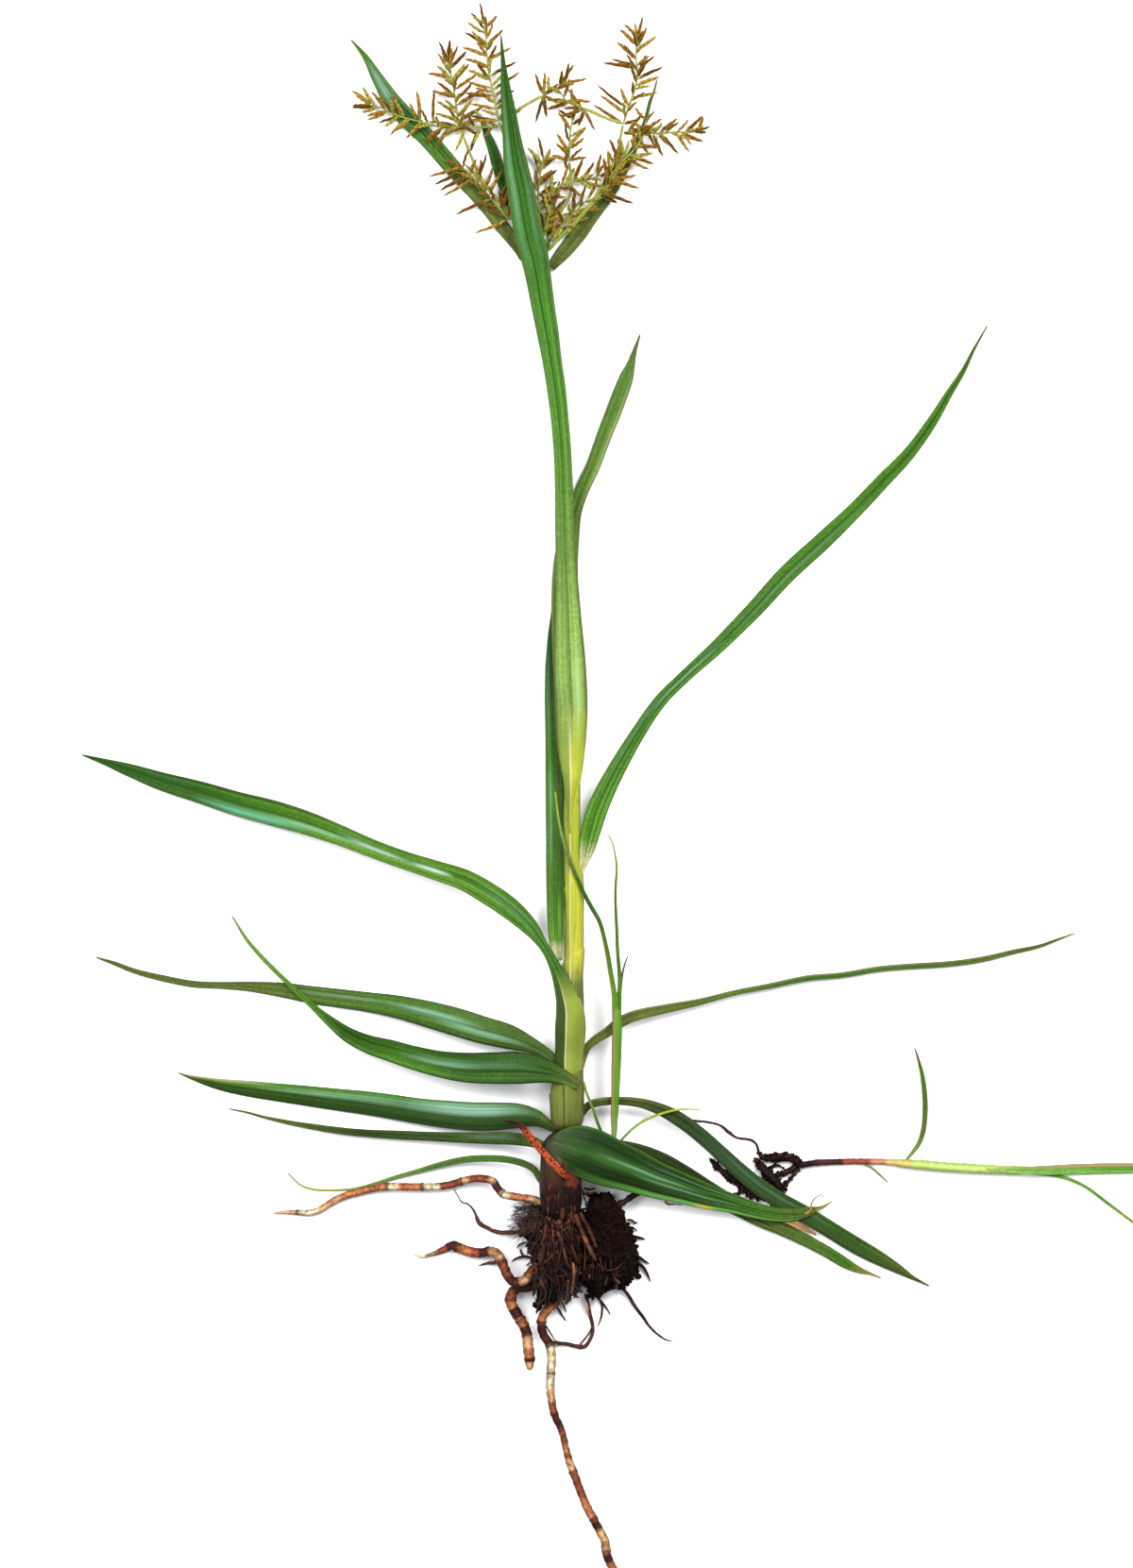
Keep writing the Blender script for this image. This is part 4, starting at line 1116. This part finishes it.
for node, strands in looseRoots.items():
    mesh = startTubes()
    for points, tone in strands:
        rough = 0.55 if node.startswith("runner") and tone < 0.3 else 0.22
        addTube(mesh, points, sides=12, step=0.5, tone=tone, rough=rough)
    closeTubes(mesh)
    if node.startswith("runner"):
        addCrumbs(mesh, mass["runnerCrumbs"], low=0.25, high=0.75, kind=1,
                  within=lambda spot: spot.x > 50 and spot.y < 33)
    handOver(mesh, node + "_strands", [node], [rootSkin, soilSkin])

mesh = startTubes()
for points, tone in massRoots:
    addTube(mesh, drape(points), sides=10, step=0.7, tone=tone - 0.06, rough=0.4)
for points, tone in edgeRoots:
    addTube(mesh, points, sides=8, step=0.6, tone=tone, rough=0.25)

# fine roots are drawn at random: a pair is the lowest and highest, or for tone and heading the middle
# and the spread
matted = {
    "count": 150, "x": (-12, 7), "y": (-10, 18), "soilEvery": 6, "soilX": (6, 18), "soilY": (-12, -1),
    "radii": (0.18, 0.26, 0.36, 0.46, 0.56, 0.7), "tone": (0.08, 0.26), "palest": 0.8,
    "leftOf": -4, "leftLean": -0.15, "lean": 0.1, "leanSpread": 0.4,
    "length": (12, 30), "lift": (0.2, 1.6), "turn": 0.22, "step": 1.1, "overhang": 1.6, "rough": 0.2,
}
for number in range(matted["count"]):
    x, y = rng.uniform(*matted["x"]), rng.uniform(*matted["y"])
    if number % matted["soilEvery"] == 0:
        x, y = rng.uniform(*matted["soilX"]), rng.uniform(*matted["soilY"])
    radius = rng.choice(matted["radii"])
    tone = min(matted["palest"], abs(rng.gauss(*matted["tone"])))
    lean = matted["leftLean"] if x < matted["leftOf"] else matted["lean"]
    heading = -math.pi / 2 + rng.gauss(lean, matted["leanSpread"])
    length, lift = rng.uniform(*matted["length"]), rng.uniform(*matted["lift"])
    strand = wander(x, y, heading, length, radius, matted["turn"], lift, matted["step"], matted["overhang"])
    addTube(mesh, strand, sides=6, step=matted["step"], tone=tone, rough=matted["rough"])
finishTubes(mesh, "matted_roots", [], [rootSkin])

hairs = {
    "count": 120, "x": (-15, 9), "y": (-20, 18), "length": (3, 8), "radius": (0.06, 0.11), "lift": (0.3, 1.8),
    "turn": 0.4, "step": 0.8, "tone": (0.15, 0.2), "leastGround": 1.0,
}
mesh = startTubes()
for _ in range(hairs["count"]):
    x, y = rng.uniform(*hairs["x"]), rng.uniform(*hairs["y"])
    if surfaceHeight(x, y) < hairs["leastGround"]:
        continue
    heading = rng.uniform(0, 2 * math.pi)
    length, radius, lift = (rng.uniform(*hairs[measure]) for measure in ("length", "radius", "lift"))
    hair = wander(x, y, heading, length, radius, hairs["turn"], lift, hairs["step"])
    addTube(mesh, hair, sides=4, step=hairs["step"], tone=abs(rng.gauss(*hairs["tone"])))
finishTubes(mesh, "root_hairs", [], [rootSkin])

# the fuzzy grey tuft on the left of the mass
tuft = {
    "count": 150, "x": (-16, -8), "y": (6, 15), "heading": (192, 18), "length": (6, 13),
    "radius": (0.05, 0.1), "lift": (0.3, 1.4), "turn": 0.12, "step": 1.0, "overhang": 5.0,
}
tuftSkin = rootMaterial("tuftSkin", [(0.0, earth["bark"]), (0.5, earth["ash"]), (1.0, earth["ash"])], 0.7)
mesh = startTubes()
for _ in range(tuft["count"]):
    x, y = rng.uniform(*tuft["x"]), rng.uniform(*tuft["y"])
    heading = math.radians(rng.gauss(*tuft["heading"]))
    length, radius, lift = (rng.uniform(*tuft[measure]) for measure in ("length", "radius", "lift"))
    hair = wander(x, y, heading, length, radius, tuft["turn"], lift, tuft["step"], tuft["overhang"])
    addTube(mesh, hair, sides=4, step=tuft["step"], tone=rng.uniform(0, 1))
finishTubes(mesh, "root_tuft_hairs", ["root_tuft"], [tuftSkin])
print("roots and soil")

# the crown: a ridged brown neck under its fibres
crown = {
    "path": [(-1.2, 41.2, 12, 6.4), (-1.4, 38, 12, 7.0), (-1.6, 33, 12, 7.3), (-1.9, 27, 12, 7.3),
             (-2.1, 22, 12, 7.3), (-2.0, 17, 11.4, 7.2), (-1.8, 12, 9.6, 6.8), (-1.6, 7, 7.6, 5.4),
             (-1.4, 2, 6, 3.4)],
    "middle": -1.8, "halfWidth": 7.3, "ridge": 0.48,
    "patches": [(-4.4, 33.4, 3.4, 5.6, srgb(86, 84, 60)), (2.4, 23.4, 2.6, 2.6, srgb(124, 54, 32)),
                (-5.4, 20, 1.5, 3, srgb(100, 50, 34))],
}


def crownBulge(spot, angle):
    along = spot.y * 0.06
    broad = noise.noise(Vector((angle * 2.2, along, 4.0)))
    fine = noise.noise(Vector((angle * 6, along * 2, 9.0)))
    return crown["ridge"] * (broad + 0.5 * fine)


def patchAt(tree, place, ragged, x, y, wide, tall):
    # a ragged patch round one place, 1 inside and 0 outside
    squares = []
    for here, centre, reach in zip(splitUp(tree, place), (x, y), (wide, tall)):
        off = addMath(tree, "DIVIDE", addMath(tree, "SUBTRACT", here, centre * mm), reach * mm)
        squares.append(product(tree, off, off))
    far = addMath(tree, "ADD", addMath(tree, "ADD", *squares), offCentre(tree, ragged, 2.4))
    return addRamp(tree, far, [(0.5, 1.0), (0.95, 0.0)])


def crownMaterial():
    material, tree, shader = startMaterial("crownSkin", 0.6, 0.08)
    place = objectPlace(tree)
    fibres = addNoise(tree, scaled(tree, place, (900, 70, 900)), 1.0, 4.0, 0.6)
    ragged = addNoise(tree, scaled(tree, place, (180, 90, 180)), 1.0, 3.0)
    up = addNode(tree, "MapRange", {"Value": splitUp(tree, place)[1], "From Min": 10 * mm,
                                    "From Max": 41 * mm})
    level = addMath(tree, "ADD", up.outputs["Result"], offCentre(tree, ragged, 0.5))
    colour = addRamp(tree, level, [(0.1, srgb(20, 10, 8)), (0.28, srgb(40, 20, 15)), (0.42, srgb(70, 37, 27)),
                                   (0.56, srgb(76, 58, 38)), (0.8, srgb(76, 76, 42)),
                                   (1.0, srgb(48, 56, 32))])
    colour = shadeBy(tree, 0.95, colour, fibres, [(0.36, 0.2), (0.46, 0.9), (0.62, 1.5)])
    around = splitUp(tree, surfaceUv(tree))[0]
    colour = shadeBy(tree, 1.0, colour, flankOf(tree, around), [(0.7, 1.0), (1.0, 0.35)])
    for x, y, wide, tall, tint in crown["patches"]:
        colour = addMix(tree, patchAt(tree, place, ragged, x, y, wide, tall), colour, tint)
    tree.links.new(colour, shader.inputs["Base Color"])
    addBump(tree, shader, fibres, 0.5)
    return material


mesh = startTubes()
addTube(mesh, crown["path"], sides=64, step=0.5, bulge=crownBulge)
finishTubes(mesh, "crown_neck", ["crown"], [crownMaterial()])

crownRoute = smoothRoute(crown["path"], 1.0)


def crownTop(x, y):
    # top of the neck, or of the mass below it
    ring = min(crownRoute, key=lambda row: abs(row.y - y))
    reach = ring.w ** 2 - (x - ring.x) ** 2
    over = ring.z + math.sqrt(reach) if reach > 0 and y > 1.5 else 0.0
    return max(over, surfaceHeight(x, y))


fibre = {
    "count": 230, "start": (6, 23), "length": (10, 24), "thick": (0.2, 0.42), "tone": (0.12, 0.18),
    "palest": 0.7, "step": 1.2, "drop": 1.4, "overSkin": (-0.1, 0.3), "stray": 0.22, "rough": 0.2,
    "runEvery": 8, "runStart": (11, 17), "runLength": (16, 26), "runThick": (0.4, 0.7), "runTone": (0.3, 0.6),
    "fanFrom": 10, "fan": 0.25, "fanAbove": 0.05,
}
mesh = startTubes()
for number in range(fibre["count"]):
    side = rng.uniform(-1, 1)
    start, length, thick = (rng.uniform(*fibre[measure]) for measure in ("start", "length", "thick"))
    tone = min(fibre["palest"], abs(rng.gauss(*fibre["tone"])))
    if number % fibre["runEvery"] == 0:
        # a root that leaves the crown and runs on over the mass
        start, length = rng.uniform(*fibre["runStart"]), rng.uniform(*fibre["runLength"])
        thick, tone = rng.uniform(*fibre["runThick"]), rng.uniform(*fibre["runTone"])
    x = crown["middle"] + crown["halfWidth"] * side
    points = []
    for k in range(int(length / fibre["step"]) + 2):
        y = start - fibre["step"] * k
        share = k * fibre["step"] / length
        z = crownTop(x, y) + rng.uniform(*fibre["overSkin"])
        if points:
            z = max(z, points[-1][2] - fibre["drop"])
        points.append((x, y, z, thick * (1 - 0.6 * share)))
        # the fibres fan out below the neck
        fan = fibre["fanAbove"] if y > fibre["fanFrom"] else fibre["fan"]
        x += rng.gauss(0, fibre["stray"]) + fan * side
    addTube(mesh, points, sides=6, step=fibre["step"], tone=tone, rough=fibre["rough"])
finishTubes(mesh, "crown_fibres", [], [rootSkin])
print("crown")


# The flower head: rays, spike axes and their flat, scaly spikelets

head = {
    "ray": 0.62, "axis": 0.42, "axisStep": 0.7, "spikeRise": 0.25, "lowest": 0.9, "seed": 5, "spacing": 2.1,
    "spikeletRows": 8, "spikeletSides": 6, "wide": 0.72, "thin": 0.46, "long": 8.8, "ascend": 50.0,
    "profile": (0.3, 0.78, 1.0, 0.98, 0.93, 0.84, 0.64, 0.12), "zigzag": 0.13, "bow": (-0.4, 0.4),
    "turn": (12, 70), "lift": (15, 60), "liftUnderLeaf": (-15, 5), "shorter": (0.7, 1.0), "rise": (-1.2, 1.6),
    "placedSize": (0.8, 1.05), "placedTone": (0, 0.85), "filledSize": (0.7, 1.0), "filledTone": (0.1, 1.0),
}
flowers = {
    "spikes_left": dict(
        height=3.0,
        rays=[[(-13.2, 351.4), (-18, 361), (-25, 370), (-31, 377), (-36, 382)],
              [(-28, 373), (-32, 381), (-35, 388), (-38, 396)]],
        spikes=[
            ([(-24, 395), (-30, 395), (-37, 395), (-44, 395), (-50, 396.5), (-56, 398), (-62, 400),
              (-66, 402), (-71, 403)],
             [(-76, 408), (-76, 402), (-72, 409.5), (-69, 408), (-66, 405), (-70.5, 397.5), (-66.5, 396.5),
              (-62.5, 392), (-61.5, 407), (-53, 408.5), (-46.5, 409), (-57, 391), (-50, 389), (-46.5, 387),
              (-39.5, 386), (-34, 386)]),
            ([(-38, 395), (-39, 403), (-40, 410), (-41.5, 417), (-42, 421)],
             [(-45, 425.5), (-41, 425), (-38, 424), (-45.5, 421.5), (-35, 422), (-46, 417), (-34, 417.5),
              (-49.5, 414), (-46, 411), (-48, 408), (-46, 404.5), (-33, 411), (-33, 405), (-30, 408),
              (-29.5, 402), (-31, 414), (-30, 398), (-47, 400), (-49, 397), (-45, 391), (-31, 392)]),
            ([(-20, 362), (-26, 369), (-32, 376), (-37, 381)],
             [(-26, 381), (-22.5, 380), (-17, 370), (-49, 377.5), (-47, 374.5), (-45, 372.5), (-44, 370.5),
              (-39.5, 364), (-33, 357.5), (-28, 386), (-30, 384), (-24, 373), (-43, 384), (-19, 378),
              (-20, 374)])]),
    "spikes_tall": dict(
        height=5.6,
        rays=[[(-11.2, 351.2), (-14, 366), (-19, 384), (-24, 397)],
              [(-22, 393), (-18, 400), (-12, 404), (-8, 406)]],
        spikes=[
            ([(-24, 397), (-25.5, 405), (-27, 412), (-28, 420), (-28.5, 427), (-29, 432)],
             [(-30.5, 439), (-34, 435.5), (-28.5, 434.5), (-36, 428.5), (-33.5, 429), (-22, 429.5),
              (-37, 423), (-19, 423), (-36, 419), (-32.5, 419), (-16, 414.5), (-35, 411), (-18, 408),
              (-34, 403), (-33, 397), (-15, 402), (-18, 404), (-17, 418), (-36, 407), (-34, 399),
              (-35, 415)]),
            ([(-8, 406), (-5, 407.5), (-1, 410), (0.5, 412)],
             [(3, 417), (7.5, 412), (-11, 414), (-7.5, 414.5), (-2.5, 410), (-7, 398), (-11, 396)])]),
    "spikes_centre": dict(
        height=3.0,
        rays=[[(-9.2, 351.2), (-9.4, 358), (-9, 365)], [(-9.6, 355), (-3, 364), (1.5, 372), (1, 383)],
              [(-9.0, 352.6), (-2, 361), (5, 369)]],
        spikes=[
            ([(-9, 363), (-10, 370), (-9.5, 377), (-8, 384)],
             [(-10, 392), (-5.5, 388), (-14, 388), (-3, 380), (-15, 379), (-2, 371), (-3, 376), (-1, 366.5)]),
            ([(-6, 370), (-3, 374), (2, 375.5), (8, 376.5), (12, 378)],
             [(6, 384), (10, 383), (12.5, 386), (-5, 380), (3, 381), (14, 374), (6, 370), (0, 370)]),
            ([(-8, 358), (-6, 364), (-5, 369)], [(-9, 372), (-1, 375), (-2, 366), (0, 370), (-9, 365),
                                                 (-1, 361)]),
            ([(-5, 356), (-1, 361), (4, 366), (8, 370)],
             [(-2, 368), (3, 373), (1, 358), (8, 363), (7, 375), (-4, 363), (11, 367)]),
            ([(12, 371), (15, 375), (18, 380)], [(17, 386), (21, 383), (25, 378), (18, 368)]),
            ([(1, 383), (1, 388), (1.5, 394), (2.5, 400)],
             [(-3.5, 393), (-5.5, 385), (7.5, 384), (7, 394.5), (4.5, 405), (-0.5, 380)])]),
    "spikes_right": dict(
        height=5.6,
        rays=[[(-7.4, 350.6), (3, 361.5), (11, 371.5), (17, 383), (20, 396)],
              [(0, 357), (8, 366.5), (17, 377)],
              [(12, 372), (19, 381), (22, 390)],
              [(20, 396), (14, 398), (8, 400.6), (5, 401.6)]],
        spikes=[
            ([(20, 396), (22, 402), (24, 408), (25, 413), (24.5, 420), (25, 427)],
             [(24, 432), (27, 434), (28.5, 430.5), (18.5, 429.5), (17.5, 425), (32, 427), (15.5, 419),
              (12.5, 417.5), (28, 420.5), (31.5, 420), (34.5, 416), (33, 412.5), (10.5, 410), (11.5, 406.5),
              (32.5, 407), (9, 403)]),
            ([(20, 393), (27, 393), (33, 392.5), (38, 393), (43, 393), (47, 394)],
             [(51, 395), (48, 399), (48.5, 389.5), (43.5, 385.5), (39.5, 385), (34, 384), (39.5, 398),
              (34, 398), (29, 385), (27, 400)]),
            ([(6, 401.2), (3, 402.4), (0, 404), (-2, 407)],
             [(0.5, 408.5), (-7, 404.5), (-7, 401), (-2, 398.5), (9, 403.5), (4, 395), (10, 393)]),
            ([(12, 372), (16, 378), (20, 383), (24, 387), (27, 392), (28, 398)],
             [(15, 391), (14.5, 386.5), (18, 391), (31, 381.5), (29.5, 379.5), (26, 373), (24, 367.5),
              (30.5, 385.5), (33, 388.5), (13, 384), (23, 396)])]),
}


def spikeletMaterial():
    material, tree, shader = startMaterial("spikeletSkin", 0.6, 0.06)
    around, along = splitUp(tree, surfaceUv(tree))
    grain = addNoise(tree, objectPlace(tree), 900.0, 3.0)
    colour = addRamp(tree, ownValue(tree, "tone"), [(0.0, srgb(90, 50, 14)), (0.35, srgb(142, 86, 22)),
                                                    (0.65, srgb(178, 128, 40)), (1.0, srgb(176, 180, 70))])
    # overlapping scales, dark at each one's back, pale along both margins
    scales = addMath(tree, "FRACT", product(tree, along, head["spikeletRows"] / 2))
    colour = shadeBy(tree, 0.8, colour, scales, [(0.0, 0.3), (0.4, 1.0), (0.9, 1.35)])
    margin = addRamp(tree, flankOf(tree, around), [(0.7, 0.0), (1.0, 0.85)])
    colour = addMix(tree, margin, colour, srgb(194, 188, 70))
    foot = addRamp(tree, along, [(0.0, 0.85), (0.3, 0.0)])
    colour = addMix(tree, foot, colour, srgb(168, 182, 72))
    colour = shadeBy(tree, 0.6, colour, grain, [(0.3, 0.6), (0.65, 1.25)])
    tree.links.new(colour, shader.inputs["Base Color"])
    return material


def spikeletFoot(axis, tip):
    # the place on the axis from which a spikelet of the usual length ascends at the usual angle
    def misfit(i):
        reach = tip.xy - axis[i].xy
        along = (axis[min(i + 1, len(axis) - 1)] - axis[max(i - 1, 0)]).xy
        leaning = abs(math.degrees(reach.angle(along, 0)) - head["ascend"]) / 20
        return leaning + abs(reach.length - head["long"]) / 1.5
    return axis[min(range(len(axis)), key=misfit)].xyz


def addSpikelet(mesh, foot, tip, size, tone):
    reach = tip - foot
    sideways = reach.cross(Vector((0, 0, 1))).normalized()
    bow = draw.uniform(*head["bow"])
    points = []
    for k, wide in enumerate(head["profile"]):
        share = k / (len(head["profile"]) - 1)
        zigzag = head["zigzag"] if k % 2 else -head["zigzag"]
        spot = foot + reach * share + sideways * (bow * math.sin(math.pi * share) + zigzag)
        points.append((*spot, head["wide"] * size * wide))
    addTube(mesh, points, head["spikeletSides"], reach.length / head["spikeletRows"], tone=tone,
            flat=head["thin"] / head["wide"], kind=1)


def underLeaf(spot):
    return any(abs(spot.x - x) < width / 2 + 3 and abs(spot.y - y) < 8 for x, y,
               width in leaves["long_leaf"]["path"])


def nextTip(foot, ahead, k):
    # spikelets leave the axis by turns to either side, and stay low where the long leaf lies over them
    turn = math.radians(draw.uniform(*head["turn"])) * (1 if k % 2 else -1)
    lift = math.radians(draw.uniform(*head["lift"]))
    long = head["long"] * draw.uniform(*head["shorter"])
    if underLeaf(foot):
        lift = math.radians(draw.uniform(*head["liftUnderLeaf"]))
    flatWay = Vector((ahead.x * math.cos(turn) - ahead.y * math.sin(turn),
                      ahead.x * math.sin(turn) + ahead.y * math.cos(turn), 0))
    tip = foot + (flatWay * math.cos(lift) + Vector((0, 0, math.sin(lift)))) * long
    tip.z = max(tip.z, head["lowest"])
    return tip


rachisSkin = stemMaterial("rachisSkin", [(0.0, srgb(136, 166, 62)), (0.4, srgb(174, 182, 74)),
                                         (1.0, srgb(198, 192, 92))], 345, 430)
spikeletSkin = spikeletMaterial()
draw = random.Random(head["seed"])
for node, flower in flowers.items():
    mesh = startTubes()
    for ray in flower["rays"]:
        points = [(x, y, flower["height"], head["ray"] * (1 - 0.3 * k / len(ray))) for k,
                  (x, y) in enumerate(ray)]
        addTube(mesh, points, sides=8, step=1.5, rough=0.15)
    for number, (line, tips) in enumerate(flower["spikes"]):
        level = flower["height"] + head["spikeRise"] * number
        points = [(x, y, level, head["axis"] * (1 - 0.45 * k / len(line))) for k, (x, y) in enumerate(line)]
        addTube(mesh, points, sides=6, step=1.5, rough=0.2)
        axis = smoothRoute(points, head["axisStep"])
        for x, y in tips:
            # those whose tips can be told apart
            foot = spikeletFoot(axis, Vector((x, y, level)))
            tip = Vector((x, y, max(head["lowest"], level + draw.uniform(*head["rise"]))))
            size, tone = draw.uniform(*head["placedSize"]), draw.uniform(*head["placedTone"])
            addSpikelet(mesh, foot, tip, size, tone)
        for k in range(int(len(axis) * head["axisStep"] / head["spacing"]) + 1):
            # and the rest, at even steps
            i = min(int(k * head["spacing"] / head["axisStep"]), len(axis) - 2)
            foot = axis[i].xyz
            tip = nextTip(foot, (axis[i + 1] - axis[i]).xyz.normalized(), k)
            size, tone = draw.uniform(*head["filledSize"]), draw.uniform(*head["filledTone"])
            addSpikelet(mesh, foot, tip, size, tone)
    finishTubes(mesh, node + "_florets", [node], [rachisSkin, spikeletSkin])
print("flower head")


# The floor, the light and the camera

studio = {
    "floorSize": 12.0, "floorDrop": 0.00005, "sky": 0.65, "target": (0, 0.16, 0),  # in metres
    "camera": (0.0, 0.1632, 3.0), "lens": 195.0, "sensor": 36.0,
    "lights": {"keyLight": ((0.75, 0.95, 1.8), 0.8, 54.0), "fillLight": ((-1.1, 0.7, 1.7), 1.2, 50.0)},
}


def makeFloor():
    sheet = bmesh.new()
    bmesh.ops.create_grid(sheet, x_segments=1, y_segments=1, size=studio["floorSize"] / 2)
    bmesh.ops.translate(sheet, verts=sheet.verts, vec=(0, 0, -studio["floorDrop"]))
    data = bpy.data.meshes.new("paperFloor")
    sheet.to_mesh(data)
    sheet.free()
    floor = bpy.data.objects.new("paperFloor", data)
    bpy.context.scene.collection.objects.link(floor)
    material, tree, shader = startMaterial("whitePaper", 0.85, 0.5)
    grain = addNoise(tree, objectPlace(tree), 6.0, 2.0)
    tree.links.new(addRamp(tree, grain, [(0.3, (0.9, 0.89, 0.9)), (0.7, (0.93, 0.92, 0.93))]),
                   shader.inputs["Base Color"])
    data.materials.append(material)


def addLight(name, place, size, power):
    light = bpy.data.lights.new(name, "AREA")
    light.size = size
    light.energy = power
    lamp = bpy.data.objects.new(name, light)
    bpy.context.scene.collection.objects.link(lamp)
    lamp.location = place
    lamp.rotation_euler = (Vector(studio["target"]) - Vector(place)).to_track_quat("-Z", "Y").to_euler()


def makeStudio():
    world = bpy.data.worlds.new("studioSky")
    bpy.context.scene.world = world
    world.use_nodes = True
    sky = world.node_tree.nodes["Background"]
    sky.inputs["Color"].default_value = (0.95, 0.97, 1.0, 1)
    sky.inputs["Strength"].default_value = studio["sky"]
    for name, light in studio["lights"].items():
        addLight(name, *light)
    camera = bpy.data.cameras.new("camera")
    camera.lens = studio["lens"]
    camera.sensor_width = studio["sensor"]
    camera.sensor_fit = "AUTO"
    camera.clip_end = 100
    view = bpy.data.objects.new("camera", camera)
    view.location = studio["camera"]
    bpy.context.scene.collection.objects.link(view)
    bpy.context.scene.camera = view
    bpy.context.scene.view_settings.view_transform = "Standard"


makeFloor()
makeStudio()
print("studio ready")
